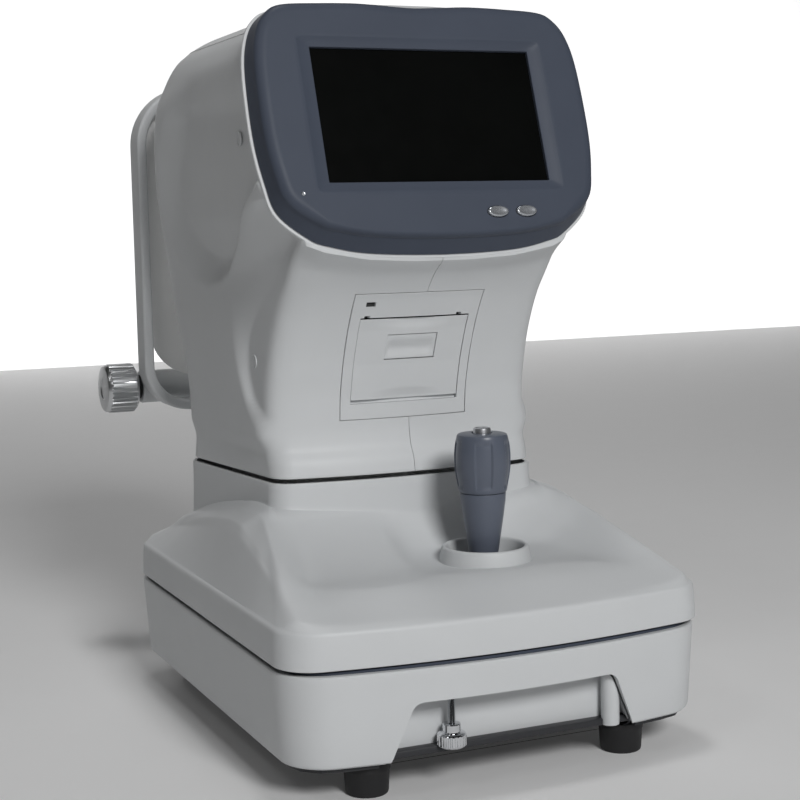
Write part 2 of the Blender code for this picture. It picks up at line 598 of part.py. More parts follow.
def bezel_half(front):
    """Right half of the bezel's outline from bottom to top, on its face or at its back edge."""
    if front:
        return [(0, -81), (50, -79), (76, -74.5), (86, -71), (104.5, -57), (110.5, -38),
                (113.6, -10), (113, 34), (109, 56), (101.5, 68), (91, 73.6), (65, 75.4),
                (40, 76), (20, 75), (0, 74)]
    return [(0, -88.4), (50, -86.4), (78, -81), (90, -76), (108, -60), (113.4, -40),
            (116.8, -10), (116, 34), (111.5, 57), (104, 69.4), (93, 75), (66, 76.8),
            (40, 77.4), (20, 76.4), (0, 75.4)]


def mirrored(half):
    return half + [(-u, v) for u, v in reversed(half[1:-1])]


def make_bezel():
    face, back = mirrored(bezel_half(True)), mirrored(bezel_half(False))
    inner_face = [(u * 0.985, v * 0.98) for u, v in face]
    outlines = [(back, -BEZEL_DEPTH), ([(u * 1.008, v * 1.01) for u, v in face], -4.0),
                (face, -1.4), (inner_face, 0.0)]
    bezel = finish("bezel", screen_loft(outlines), "slate")
    window = [(rectangle(162.5, 98.5), -BEZEL_DEPTH - 2), (rectangle(162.5, 98.5), -4.0)]
    cut(bezel, "bezel_pocket", screen_loft(window))
    opening = [(rectangle(SCREEN_WIDTH, SCREEN_HEIGHT), -6.0),
               (rectangle(SCREEN_WIDTH, SCREEN_HEIGHT), -1.6),
               (rectangle(170.0, 103.0), 0.0), (rectangle(186.0, 117.0), 1.6)]
    cut(bezel, "bezel_opening", screen_loft(opening))
    for name, (u, v) in BUTTON_AT.items():
        hole = [(ellipse(u, v, 15.4, 8.2), -BEZEL_DEPTH - 2), (ellipse(u, v, 15.4, 8.2), 4.0)]
        cut(bezel, name + "_hole", screen_loft(hole))


def make_screen():
    glass = [(rectangle(161.5, 97.5), -6.2), (rectangle(161.5, 97.5), -4.4)]
    finish("screen_glass", screen_loft(glass), "screen")
    panel = [(rectangle(160, 96), -13.0), (rectangle(160, 96), -6.6)]
    finish("lcd_panel", screen_loft(panel), "silver")
    for name, (u, v) in BUTTON_AT.items():
        cap = [(ellipse(u, v, 14.6, 7.4), -5.0), (ellipse(u, v, 14.6, 7.4), 0.9),
               (ellipse(u, v, 12.8, 5.8), 1.6)]
        finish(name, screen_loft(cap), "silver", pivot=on_screen(u, v, 0.0))


def make_head_inside():
    outline = whole_plan(163.5, 89.5, 6.0, 14.0, 99.0, 309.0, 18.0, steps=3)
    plate = finish("head_plate", prism(outline, 208, 212, "Z"), "silver")
    for name, x, radius in (("left", -POST_X, 5.5), ("right", POST_X, 5.5), ("screw", 0, 4.6)):
        cut(plate, "head_plate_" + name, turned([(radius, 200), (radius, 220)], (x, LIFT_AT_Y, 0)))
    outline = [(222, 212.3), (264, 212.3), (264, 216), (252, 216), (252, 365.7), (350, 365.7),
               (350, 369.5), (222, 369.5), (222, 365.7), (244, 365.7), (244, 216), (222, 216)]
    finish("optics_frame", prism(outline, -45, 45, "X"), "silver")
    barrel = [(22, 262), (22, 340), (18, 342), (18, 350), (22.6, 352), (22.6, 359.5)]
    finish("optics_barrel", turned(barrel, (0, 0, OPTIC_Z), "Y", 28), "dark")
    finish("camera_module", box(-22, 22, 224, 261.6, 369.8, 414), "dark")
    ring = [(36.8, 356), (36.8, 372), (34, 375), (26, 375), (24.2, 370), (24.2, 356)]
    finish("window_ring", turned(ring, (0, 0, OPTIC_Z), "Y", 36, hollow=True), "dark")
    lens = [(23.6, 361), (23.6, 364), (16, 366), (6, 367)]
    finish("objective_lens", turned(lens, (0, 0, OPTIC_Z), "Y", 28), "glass")


def neck_patch(half, low, high, lift, depth, steps=6):
    """A curved piece that follows the front of the neck."""
    rings = []
    for k in range(steps + 1):
        z = low + (high - low) * k / steps
        y = body_front(z)
        spread = [(PRINTER_X + half * t, y + PRINTER_BOW * (half * t / PRINTER_HALF) ** 2)
                  for t in (-1, -0.5, 0, 0.5, 1)]
        rings.append([(x, py - lift, z) for x, py in spread]
                     + [(x, py + depth, z) for x, py in reversed(spread)])
    return loft(rings)


def make_printer():
    frame = finish("printer_frame",
                   neck_patch(PRINTER_HALF, PRINTER_BOTTOM, PRINTER_TOP, 0.8, 4.0), "shell")
    cut(frame, "door_opening", box(PRINTER_X - DOOR_HALF - 0.8, PRINTER_X + DOOR_HALF + 0.8, 100, 190,
                                   DOOR_BOTTOM - 1.5, DOOR_TOP + 3.5))
    hinge = (PRINTER_X, body_front(DOOR_BOTTOM), DOOR_BOTTOM)
    door = finish("printer_door", neck_patch(DOOR_HALF, DOOR_BOTTOM, DOOR_TOP, 0.0, 3.2), "shell",
                  pivot=hinge)
    cut(door, "latch_opening", box(PRINTER_X - 18.6, PRINTER_X + 18.6, 100, 190, 246.4, 265.9))
    latch_pivot = (PRINTER_X, body_front(264.8) + 0.6, 264.8)
    finish("door_latch", neck_patch(18, 248.4, 264.8, -0.6, 2.8, steps=3), "shell",
           pivot=latch_pivot)
    outline = [(171, 214), (212, 214), (212, 290), (143, 290), (143, 279), (157, 262), (169, 236)]
    works = finish("printer_mechanism", prism(outline, PRINTER_X - 37, PRINTER_X + 37, "X"), "dark")
    y, z = ROLL_AT
    cut(works, "roll_bay", turned([(24.5, -32), (24.5, 32)], (PRINTER_X, y, z + 2), "X", 28))
    cut(works, "paper_way", box(PRINTER_X - 32, PRINTER_X + 32, 100, y, 225, 277.5))
    roll = tube(ROLL_RADIUS, 6.5, -28.5, 28.5, (PRINTER_X, y, z), "X", 28)
    finish("paper_roll", roll, "paper", pivot=(PRINTER_X, y, z))


clear_scene()
make_feet()
make_base_plate()
make_base_tray()
make_screw_recess()
make_base_deck()
make_rails()
make_power_parts()
make_lock_screw()
make_face_frame()
make_face_panel()
make_forehead_pad()
make_chinrest_bracket()
make_chin_bushing()
make_chin_drive()
make_chin_rest()
make_carriage()
make_stage_cover()
make_stage_inside()
make_lift()
make_joystick()
make_side_shells()
make_top_cover()
make_bezel()
make_screen()
make_head_inside()
make_printer()
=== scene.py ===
"""Looks of the autorefractor: fine surfaces, materials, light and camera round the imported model.

Sizes are millimetres: X to the operator's right, Y from the operator to the patient, measured from
the front of the base, and Z up from the table.
"""
import json
import math

import bmesh
import bpy
import numpy as np
from mathutils import Matrix, Vector


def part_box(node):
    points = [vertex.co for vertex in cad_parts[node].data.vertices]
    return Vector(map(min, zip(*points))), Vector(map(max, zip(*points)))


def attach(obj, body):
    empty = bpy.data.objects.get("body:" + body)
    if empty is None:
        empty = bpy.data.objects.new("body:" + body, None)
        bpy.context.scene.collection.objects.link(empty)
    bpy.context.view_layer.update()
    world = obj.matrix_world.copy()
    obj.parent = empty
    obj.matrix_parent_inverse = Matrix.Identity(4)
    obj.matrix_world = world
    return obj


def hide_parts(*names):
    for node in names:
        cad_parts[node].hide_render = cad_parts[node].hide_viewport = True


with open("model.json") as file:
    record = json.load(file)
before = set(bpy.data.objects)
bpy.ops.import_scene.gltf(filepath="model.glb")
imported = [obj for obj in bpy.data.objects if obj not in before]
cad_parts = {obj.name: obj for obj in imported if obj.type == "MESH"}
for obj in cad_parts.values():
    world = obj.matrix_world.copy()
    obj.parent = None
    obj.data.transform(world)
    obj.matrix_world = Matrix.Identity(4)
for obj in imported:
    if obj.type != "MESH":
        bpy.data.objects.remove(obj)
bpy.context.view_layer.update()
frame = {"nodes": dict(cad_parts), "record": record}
MM = 0.001
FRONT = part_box("base_tray")[0].y - 0.1 * MM      # the front of the base


def cad(node):
    """Lowest and highest corner of a CAD node, in millimetres from the front of the base."""
    low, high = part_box(node)
    shift = np.array((0.0, FRONT, 0.0))
    return (np.array(low) - shift) / MM, (np.array(high) - shift) / MM


# ---------------------------------------------------------------- materials

def link(tree, source, target):
    tree.links.new(source, target)


def noise(tree, scale, detail=3.0, stretch=(1.0, 1.0, 1.0)):
    """Noise in the object's own metres."""
    where = tree.nodes.new("ShaderNodeTexCoord")
    mapping = tree.nodes.new("ShaderNodeMapping")
    mapping.inputs["Scale"].default_value = stretch
    texture = tree.nodes.new("ShaderNodeTexNoise")
    texture.inputs["Scale"].default_value = scale
    texture.inputs["Detail"].default_value = detail
    link(tree, where.outputs["Object"], mapping.inputs["Vector"])
    link(tree, mapping.outputs["Vector"], texture.inputs["Vector"])
    return texture.outputs["Fac"]


def cells(tree, scale):
    """Leather grain: soft cells in the object's own metres."""
    where = tree.nodes.new("ShaderNodeTexCoord")
    texture = tree.nodes.new("ShaderNodeTexVoronoi")
    texture.feature = "SMOOTH_F1"
    texture.inputs["Scale"].default_value = scale
    link(tree, where.outputs["Object"], texture.inputs["Vector"])
    return texture.outputs["Distance"]


def paint(name, colour, rough, metallic=0.0, grain=1400.0, relief=0.06, depth=0.05, vary=0.03,
          stretch=(1.0, 1.0, 1.0), coat=0.0, specular=0.5, leather=False, glow=0.0):
    """A material with a fine surface grain and slight changes of colour and roughness."""
    made = bpy.data.materials.new(name)
    made.use_nodes = True
    tree = made.node_tree
    shader = tree.nodes["Principled BSDF"]
    for key, value in (("Metallic", metallic), ("Coat Weight", coat), ("Coat Roughness", 0.08),
                       ("Specular IOR Level", specular), ("Emission Color", (*colour, 1.0)),
                       ("Emission Strength", glow)):
        shader.inputs[key].default_value = value
    ramp = tree.nodes.new("ShaderNodeValToRGB")
    for stop, factor in zip(ramp.color_ramp.elements, (1 - vary, 1 + vary)):
        stop.color = (*(min(1.0, c * factor) for c in colour), 1.0)
    ramp.color_ramp.elements[0].position = 0.3
    ramp.color_ramp.elements[1].position = 0.7
    link(tree, noise(tree, 22.0, 4.0), ramp.inputs["Fac"])
    link(tree, ramp.outputs["Color"], shader.inputs["Base Color"])
    spread = tree.nodes.new("ShaderNodeMapRange")
    spread.inputs["To Min"].default_value = max(0.02, rough - 0.05)
    spread.inputs["To Max"].default_value = rough + 0.05
    link(tree, noise(tree, 70.0, 3.0), spread.inputs["Value"])
    link(tree, spread.outputs["Result"], shader.inputs["Roughness"])
    bump = tree.nodes.new("ShaderNodeBump")
    bump.inputs["Strength"].default_value = relief
    bump.inputs["Distance"].default_value = depth * MM
    height = cells(tree, grain) if leather else noise(tree, grain, 2.0, stretch)
    link(tree, height, bump.inputs["Height"])
    link(tree, bump.outputs["Normal"], shader.inputs["Normal"])
    return made


def make_materials():
    """One material for each material slot of the record."""
    return {
        "shell": paint("shell_plastic", (0.64, 0.655, 0.665), 0.44, grain=1900, relief=0.10, depth=0.04,
                       vary=0.012, specular=0.28),
        "slate": paint("slate_plastic", (0.068, 0.080, 0.108), 0.44, grain=1500, relief=0.16,
                       depth=0.05, vary=0.03, specular=0.14),
        # Lighter copy of the slate plastic for the joystick: painted light, standing in for the light the
        # joystick gets and the downward-leaning bezel does not.
        "stick": paint("slate_plastic_painted_lighter", (0.112, 0.128, 0.166), 0.33, grain=1700, relief=0.14,
                       depth=0.04, vary=0.03, specular=0.42),
        "dark_metal": paint("dark_metal", (0.035, 0.036, 0.040), 0.48, 0.2, relief=0.1),
        "steel": paint("brushed_steel", (0.60, 0.61, 0.62), 0.30, 1.0, grain=900, relief=0.12,
                       depth=0.02, stretch=(0.05, 1.0, 1.0)),
        "chrome": paint("chrome", (0.74, 0.75, 0.77), 0.10, 1.0, grain=300, relief=0.03, depth=0.01),
        "rubber": paint("foot_rubber", (0.012, 0.012, 0.013), 0.62, grain=1100, relief=0.35,
                        depth=0.08, vary=0.15),
        "screen": paint("screen_black", (0.0035, 0.0038, 0.0036), 0.20, grain=2600, relief=0.01,
                        depth=0.005, vary=0.1, specular=0.08),
        "lens": paint("coated_lens", (0.012, 0.014, 0.03), 0.05, grain=40, relief=0.01, depth=0.005,
                      vary=0.3, coat=1.0),
        "pad": paint("soft_vinyl", (0.70, 0.70, 0.67), 0.55, grain=1300, relief=0.25, depth=0.12,
                     vary=0.02, leather=True),
        "cup": paint("chin_cup_plastic", (0.72, 0.72, 0.69), 0.34, grain=1800, relief=0.08,
                     depth=0.03, vary=0.01),
        # Pale panel plastic: partly its own colour, and raised beyond it as painted light that makes up
        # for the head's shadow on the panel.
        "panel": paint("panel_plastic_painted_bright", (0.90, 0.90, 0.89), 0.46, grain=1500, relief=0.14,
                       depth=0.04, vary=0.015),
        "silver": paint("satin_aluminium", (0.56, 0.57, 0.59), 0.36, 0.9, grain=700, relief=0.10,
                        depth=0.02, stretch=(1.0, 0.08, 1.0)),
        "button": paint("silvered_key", (0.50, 0.52, 0.55), 0.26, 0.75, grain=900, relief=0.05,
                        depth=0.02),
        "inlet": paint("inlet_plastic", (0.018, 0.018, 0.019), 0.42, grain=1500, relief=0.14),
        "paper": paint("thermal_paper", (0.88, 0.88, 0.86), 0.75, grain=2500, relief=0.08,
                       depth=0.02, vary=0.01),
    }


# ---------------------------------------------------------------- making pieces

def place(points):
    """Millimetre points as row frame points in metres."""
    return np.asarray(points, float) * MM + np.array((0.0, FRONT, 0.0))


def build(name, points, faces):
    """A mesh object from points in millimetres."""
    mesh = bpy.data.meshes.new(name)
    mesh.from_pydata(place(points).tolist(), [], faces)
    made = bpy.data.objects.new(name, mesh)
    bpy.context.scene.collection.objects.link(made)
    return made


def settle(made, smooth=32.0, outward=True):
    """Apply the modifiers, merge what meets, and shade smooth up to an angle."""
    evaluated = made.evaluated_get(bpy.context.evaluated_depsgraph_get())
    mesh = bpy.data.meshes.new_from_object(evaluated)
    made.modifiers.clear()
    made.data = mesh
    body = bmesh.new()
    body.from_mesh(mesh)
    bmesh.ops.remove_doubles(body, verts=body.verts, dist=0.002 * MM)
    bmesh.ops.dissolve_degenerate(body, edges=body.edges, dist=0.002 * MM)
    if outward:
        bmesh.ops.recalc_face_normals(body, faces=body.faces)
    body.to_mesh(mesh)
    body.free()
    mesh.shade_smooth()
    mesh.set_sharp_from_angle(angle=math.radians(smooth))
    return made


def show(made, slot, body, nodes=(), smooth=32.0, finish=None):
    """Finish a piece: material, body it rides on, and the CAD nodes it stands for."""
    settle(made, smooth)
    made.data.materials.clear()
    made.data.materials.append(MATERIALS[finish or slot])
    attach(made, body)
    if nodes:
        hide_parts(*nodes)
    return made


def piece(name, shape, slot, body, nodes=(), **look):
    """Build and show a piece that needs nothing in between."""
    return show(build(name, *shape), slot, body, nodes, **look)


def bevel(made, width, segments=3, angle=30.0):
    modifier = made.modifiers.new("bevel", "BEVEL")
    modifier.width = width * MM
    modifier.segments = segments
    modifier.limit_method = "ANGLE"
    modifier.angle_limit = math.radians(angle)


def thicken(made, thickness):
    """Give an open sheet a wall on its inner side."""
    modifier = made.modifiers.new("wall", "SOLIDIFY")
    modifier.thickness = thickness * MM
    modifier.offset = -1.0


def cut(made, points, faces):
    """Take a closed shape away from a piece."""
    settle(made, outward=False)
    cutter = settle(build("cutter", points, faces))
    modifier = made.modifiers.new("cut", "BOOLEAN")
    modifier.operation = "DIFFERENCE"
    modifier.solver = "EXACT"
    modifier.object = cutter
    settle(made, outward=False)
    bpy.data.objects.remove(cutter, do_unlink=True)


def skin(rings, around=True, ends=(False, False), loop=False):
    """Points and faces of a grid of rings; ends says which end rings get a face."""
    rings = [np.asarray(ring, float) for ring in rings]
    count = len(rings[0])
    points = np.concatenate(rings)
    faces = []
    rows = len(rings)
    for i in range(rows if loop else rows - 1):
        for j in range(count if around else count - 1):
            k = (j + 1) % count
            n = (i + 1) % rows
            faces.append((i * count + j, i * count + k, n * count + k, n * count + j))
    if ends[0]:
        faces.append(tuple(range(count))[::-1])
    if ends[1]:
        faces.append(tuple((rows - 1) * count + j for j in range(count)))
    return points, faces


def solid(rings):
    """A grid of rings with a face at either end."""
    return skin(rings, ends=(True, True))


def block(x0, x1, y0, y1, z0, z1):
    return solid([[(x0, y0, z), (x1, y0, z), (x1, y1, z), (x0, y1, z)] for z in (z0, z1)])


def prism(outline, low, high, along):
    """A flat outline in the other two axes, in X, Y, Z order, run along one axis."""
    axis = "XYZ".index(along)
    return solid([np.insert(np.asarray(outline, float), axis, level, axis=1) for level in (low, high)])


def turned(profile, centre, along="Z", sides=64, hollow=False, flute=None):
    """Rings of (radius, height) about an axis; flute changes a radius by its angle and height."""
    angles = 2 * np.pi * np.arange(sides) / sides
    rings = []
    for radius, height in profile:
        r = radius + (flute(angles, height) if flute else 0.0)
        c, s, h = r * np.cos(angles), r * np.sin(angles), np.full(sides, float(height))
        columns = {"Z": (c, s, h), "Y": (s, h, c), "X": (h, c, s)}[along]
        rings.append(np.stack(columns, axis=1) + np.asarray(centre, float))
    return skin(rings, ends=(not hollow, not hollow), loop=hollow)


def arc(cx, cy, radius, start, stop, steps=8):
    """Points of an arc, with its angles in degrees."""
    a = np.radians(np.linspace(start, stop, steps + 1))
    return np.stack((cx + radius * np.cos(a), cy + radius * np.sin(a)), axis=1)


def rounded(profile, radius, steps=4, closed=False):
    """A line of corners with each corner rounded."""
    points = [np.asarray(p, float) for p in profile]
    made = [] if closed else [points[0]]
    last = len(points)
    for i in range(last if closed else last - 2):
        a, b, c = (points[(i + k) % last] for k in range(3))
        reach = min(radius, 0.45 * np.linalg.norm(a - b), 0.45 * np.linalg.norm(c - b))
        p = b + (a - b) / np.linalg.norm(a - b) * reach
        q = b + (c - b) / np.linalg.norm(c - b) * reach
        for t in np.linspace(0, 1, steps + 1):
            made.append((1 - t) ** 2 * p + 2 * t * (1 - t) * b + t * t * q)
    if not closed:
        made.append(points[-1])
    return made


def spline(points, count):
    """A closed smooth curve through the points, resampled evenly."""
    p = np.asarray(points, float)
    n = len(p)
    t = np.linspace(0, 1, 12, endpoint=False)[:, None]
    dense = []
    for i in range(n):
        a, b, c, d = (p[(i + k - 1) % n] for k in range(4))
        dense.append(0.5 * (2 * b + (c - a) * t + (2 * a - 5 * b + 4 * c - d) * t ** 2
                            + (3 * b - a - 3 * c + d) * t ** 3))
    line = np.concatenate(dense + [dense[0][:1]])
    run = np.concatenate(([0.0], np.cumsum(np.linalg.norm(np.diff(line, axis=0), axis=1))))
    at = np.linspace(0, run[-1], count + 1)[:-1]
    return np.stack([np.interp(at, run, line[:, k]) for k in range(line.shape[1])], axis=1)


def offset(line, amount):
    """A closed flat outline, counterclockwise, grown by an amount."""
    ahead, behind = np.roll(line, -1, axis=0), np.roll(line, 1, axis=0)
    direction = ahead - behind
    normal = np.stack((direction[:, 1], -direction[:, 0]), axis=1)
    normal /= np.linalg.norm(normal, axis=1, keepdims=True)
    return line + amount * normal


def offset_by(line, amounts):
    """Like offset, with an amount for each point."""
    return line + (offset(line, 1.0) - line) * np.broadcast_to(amounts, len(line))[:, None]


def ease(low, high, value):
    """0 below low, 1 above high, and smooth in between."""
    t = np.clip((np.asarray(value, float) - low) / (high - low), 0, 1)
    return t * t * (3 - 2 * t)


def curve(table, at):
    """Values of a table of columns along a smooth curve that doesn't overshoot."""
    table = np.asarray(table, float)
    x, y = table[:, 0], table[:, 1:]
    h = np.diff(x)[:, None]
    slope = np.diff(y, axis=0) / h
    tangent = np.zeros_like(y)
    tangent[1:-1] = np.where(slope[:-1] * slope[1:] > 0,
                             2 * slope[:-1] * slope[1:] / (slope[:-1] + slope[1:] + 1e-12), 0)
    tangent[0], tangent[-1] = slope[0], slope[-1]
    i = np.clip(np.searchsorted(x, at, side="right") - 1, 0, len(x) - 2)
    t = ((np.asarray(at, float) - x[i]) / h[i, 0])[:, None]
    return ((2 * t ** 3 - 3 * t ** 2 + 1) * y[i] + (t ** 3 - 2 * t ** 2 + t) * h[i] * tangent[i]
            + (3 * t ** 2 - 2 * t ** 3) * y[i + 1] + (t ** 3 - t ** 2) * h[i] * tangent[i + 1])


# ---------------------------------------------------------------- outlines

def half_plan(front, half_front, bow, corner, half_rear, rear, rear_corner,
              counts=(14, 14, 60, 12, 14)):
    """Right half of a rounded outline, from the middle of the front to the middle of the rear."""
    straight = half_front - corner
    lean = math.atan2(2 * bow, straight)
    cy = front + bow + corner
    x1, y1 = straight + corner * math.sin(lean), cy - corner * math.cos(lean)
    x = np.linspace(0, x1, counts[0] + 1)
    runs = [np.stack((x, front + (y1 - front) * (x / x1) ** 2), axis=1)]
    runs.append(arc(straight, cy, corner, -90 + math.degrees(lean), 0, counts[1]))
    t = np.linspace(0, 1, counts[2] + 1)[:, None]
    ry = rear - rear_corner
    runs.append((1 - t) * np.array((half_front, cy)) + t * np.array((half_rear, ry)))
    runs.append(arc(half_rear - rear_corner, ry, rear_corner, 0, 90, counts[3]))
    t = np.linspace(0, 1, counts[4] + 1)[:, None]
    runs.append((1 - t) * np.array((half_rear - rear_corner, rear)) + t * np.array((0.0, rear)))
    return np.concatenate([runs[0]] + [run[1:] for run in runs[1:]])


def whole_plan(*sizes, counts=(14, 10, 40, 10, 14)):
    """Both halves of a rounded outline."""
    right = half_plan(*sizes, counts=counts)
    left = right[-2:0:-1] * (-1, 1)
    return np.concatenate((right, left))


def even(front, half, bow, corner, rear):
    """Sizes of an outline as wide at the rear as at the front, with equal corners."""
    return front, half, bow, corner, half, rear, corner


def inset(sizes, amount):
    """Sizes of an outline made smaller all round."""
    front, half_front, bow, corner, half_rear, rear, rear_corner = sizes
    return (front + amount, half_front - amount, bow, max(corner - amount, 0.6),
            half_rear - amount, rear - amount, max(rear_corner - amount, 0.6))


def raised(outline, z):
    """A flat outline at a height."""
    outline = np.asarray(outline, float)
    return np.column_stack((outline, np.full(len(outline), float(z))))


# ---------------------------------------------------------------- neck and head shells

# height, front, front half width, bow, front corner, rear half width, rear, rear corner
SHELL_LEVELS = [
    (171.4, 149.5, 96.5, 8.8, 17.0, 110.5, 313.0, 24.0),
    (181.0, 151.7, 96.5, 8.8, 17.0, 109.5, 313.5, 24.0),
    (191.0, 156.7, 96.0, 8.3, 18.0, 108.5, 314.5, 24.0),
    (204.0, 158.5, 96.0, 8.0, 18.0, 108.5, 316.0, 24.0),
    (222.0, 157.0, 96.0, 8.0, 20.0, 109.0, 319.0, 26.0),
    (245.0, 150.8, 96.0, 8.0, 22.0, 109.5, 327.0, 26.0),
    (268.0, 141.0, 95.5, 7.5, 24.0, 111.0, 339.0, 28.0),
    (290.0, 127.8, 95.0, 7.0, 24.0, 112.5, 350.0, 28.0),
    (306.0, 113.0, 98.0, 5.0, 22.0, 114.0, 356.0, 30.0),
    (316.0, 99.8, 104.0, 0.0, 26.0, 115.0, 359.5, 30.0),
    (330.0, 104.6, 110.0, 0.0, 24.0, 116.0, 363.0, 30.0),
    (345.0, 109.8, 115.0, 0.0, 14.0, 117.3, 365.0, 30.0),
    (365.0, 116.7, 117.0, 0.0, 6.0, 118.5, 368.0, 30.0),
    (392.0, 126.0, 118.5, 0.0, 4.0, 119.0, 369.0, 30.0),
    (420.0, 135.7, 118.0, 0.0, 4.0, 117.5, 368.0, 32.0),
    (442.0, 143.3, 113.0, 0.0, 5.0, 110.0, 366.0, 34.0),
    (456.0, 148.1, 104.5, 0.0, 8.0, 102.0, 365.0, 36.0),
    (464.0, 150.9, 97.0, 0.0, 10.0, 93.0, 364.0, 38.0)]
CROWN_LEVELS = [
    (464.3, 151.0, 97.0, 0.0, 10.0, 93.0, 364.0, 38.0),
    (471.0, 153.3, 86.0, 0.0, 12.0, 82.0, 360.0, 44.0),
    (477.0, 156.0, 71.0, 0.0, 14.0, 66.0, 351.0, 44.0),
    (481.5, 170.0, 54.0, 0.0, 16.0, 50.0, 334.0, 36.0),
    (485.0, 194.0, 36.0, 0.0, 14.0, 34.0, 310.0, 24.0),
    (487.0, 222.0, 16.0, 0.0, 8.0, 15.0, 280.0, 10.0)]
SHELL_WALL = 2.6
SEAM = 0.16                   # half the gap between the two side shells
OPTIC_Z = 392.0

# Crescent in the side of the neck: height, and y of its front crease and of its rear edge
CRESCENT = [
    (186, 150, 152), (195, 154, 160), (200, 160, 174), (206.5, 167, 184), (213, 178, 192),
    (225, 193.5, 201), (241.6, 200, 210), (255, 201, 214.5), (265, 198, 216.5), (283, 182, 218.5),
    (295.7, 163, 215.6), (306, 147, 210), (315.5, 130.8, 202), (326, 104.5, 186), (340, 96, 160)]

# Hollow in the side of the head: y and z round its floor, and how wide the slope beyond it is
HOLLOW = [
    (291.5, 392, 36), (304.6, 378.6, 36), (309, 364.5, 34), (304.4, 350, 31), (291, 335.8, 28),
    (272.7, 323.2, 26), (256.6, 316.8, 21), (238.8, 314.5, 16), (224.2, 317, 12),
    (196.3, 330.6, 9), (160.7, 351.9, 9), (131.3, 370.1, 9), (112, 386, 14), (108, 408, 20),
    (120, 430, 30), (160, 446, 34), (220, 446, 36), (262, 432, 38), (282, 412, 38)]
HOLLOW_DEPTH = 8.5


def neck_side(y, z, x):
    """Half width of the neck's side with the crescent in it."""
    line = curve(CRESCENT, np.clip(z, 186, 340))
    front, rear = line[:, 0], line[:, 1]
    band = ease(262, 345, z)
    outer = (112 - 0.073 * (325 - y)) * (1 - band) + x * band
    low = 98 - 0.07 * (200 - y)
    keep = ease(314, 336, z)
    low = low * (1 - keep) + outer * keep
    t = np.clip((y - front) / np.maximum(rear - front, 1.0), 0, 1)
    t = 0.55 * t + 0.45 * np.sin(t * np.pi / 2)
    made = low + (outer - low) * t
    fade = ease(183, 200, z)
    return x + (made - x) * fade


def hollow_depth(y, z):
    """How far the side of the head is pressed in."""
    corners = np.asarray(HOLLOW, float)
    point = np.stack((y, z), axis=-1)
    best = np.full(y.shape, 1e9)
    width = np.ones(y.shape)
    inside = np.zeros(y.shape, bool)
    for a, b in zip(corners, np.roll(corners, -1, axis=0)):
        edge = b[:2] - a[:2]
        t = np.clip(((point - a[:2]) @ edge) / (edge @ edge), 0, 1)
        away = np.linalg.norm(point - (a[:2] + t[..., None] * edge), axis=-1)
        nearer = away < best
        best = np.where(nearer, away, best)
        width = np.where(nearer, a[2] + t * (b[2] - a[2]), width)
        crosses = (a[1] > z) != (b[1] > z)
        at = a[0] + (z - a[1]) / (b[1] - a[1] + 1e-9) * (b[0] - a[0])
        inside ^= crosses & (y < at)
    slope = np.where(inside, 0.0, best / width)
    fade = (1 - ease(408, 446, z)) * ease(92, 128, y)
    ramp = 0.75 * np.clip(slope, 0, 1) + 0.25 * ease(0, 1, slope)
    return HOLLOW_DEPTH * (1 - ramp) * fade


def shell_grid(levels, heights, amounts):
    rows = curve(levels, np.asarray(heights, float))
    return [raised(half_plan(*inset(row, amount)), z)
            for row, z, amount in zip(rows, heights, amounts)]


def sculpt_side(rows):
    """Press the crescent and the hollow into the side of a half shell."""
    grid = np.array(rows)
    x, y, z = grid[..., 0], grid[..., 1], grid[..., 2]
    column = np.arange(grid.shape[1])
    weight = ease(14, 28, column) * (1 - ease(88, 100, column))
    flat_z = z.ravel()
    neck = neck_side(y.ravel(), flat_z, x.ravel()).reshape(x.shape) - x
    head = -hollow_depth(y, z)
    grid[..., 0] = x + weight * np.where(z < 345, neck, 0) + np.where(column < 101, head, head *
                                                                      (1 - ease(100, 114, column)))
    return grid


SCREEN_MIDDLE = np.array((0.0, 111.85, 407.25))
SCREEN_TILT = math.radians(19.05)
LIP_DEPTH = 18.35             # how far the shells' edge lies behind the bezel's face
# Edge of the shells at the back of the bezel: height and half width
BEZEL_EDGE = [(317.7, 20), (319.6, 52), (324.7, 80), (329.5, 92), (336, 101), (344.6, 109.6),
              (354, 113), (363.5, 115.2)]


def fit_to_bezel(grid):
    """Lift the underside of the head so that it meets the back edge of the bezel."""
    x, y, z = (grid[..., k].copy() for k in range(3))
    heights, widths = np.array(BEZEL_EDGE).T
    lift = np.interp(x, widths, heights - heights[0], left=0.0)
    lift = np.where(x < widths[0], 0.0, np.minimum(lift, 27.0))
    plane = SCREEN_MIDDLE[1] + LIP_DEPTH * math.cos(SCREEN_TILT)
    tilt = math.tan(SCREEN_TILT)
    foot = SCREEN_MIDDLE[2] - LIP_DEPTH * math.sin(SCREEN_TILT)
    behind = y - (plane + (z - foot) * tilt)
    near = 1 - ease(12, 70, behind)
    rise = ease(286, 316, z) * (1 - ease(318, 364, z))
    z = z + lift * rise * near
    ahead = plane + (z - foot) * tilt
    y = np.where(z > 312, np.maximum(y, ahead), y)
    limit = np.interp(z, heights, widths)
    depth = np.clip((y - ahead) / (8 + 38 * ease(334, 352, z)), 0, 1)
    bound = limit + (x - limit) * np.sin(depth * np.pi / 2) ** 0.7
    mix = ease(328, 340, z) * (1 - ease(356, 366, z))
    x = np.where(x > limit, x + (bound - x) * mix, x)
    return np.stack((x, y, z), axis=-1)


def half_shell(sign):
    """Sheet of the right or the left side shell."""
    heights = np.concatenate(([171.4, 171.6, 172.1, 172.9], np.arange(175, 462.5, 2.4), [464.0]))
    amounts = np.concatenate(([0.9, 0.35, 0.06], np.zeros(len(heights) - 3)))
    grid = fit_to_bezel(sculpt_side(shell_grid(SHELL_LEVELS, heights, amounts)))
    grid[..., 0] = np.maximum(grid[..., 0], SEAM)
    if sign < 0:
        grid = grid[:, ::-1] * (-1, 1, 1)
    return skin(list(grid), around=False)


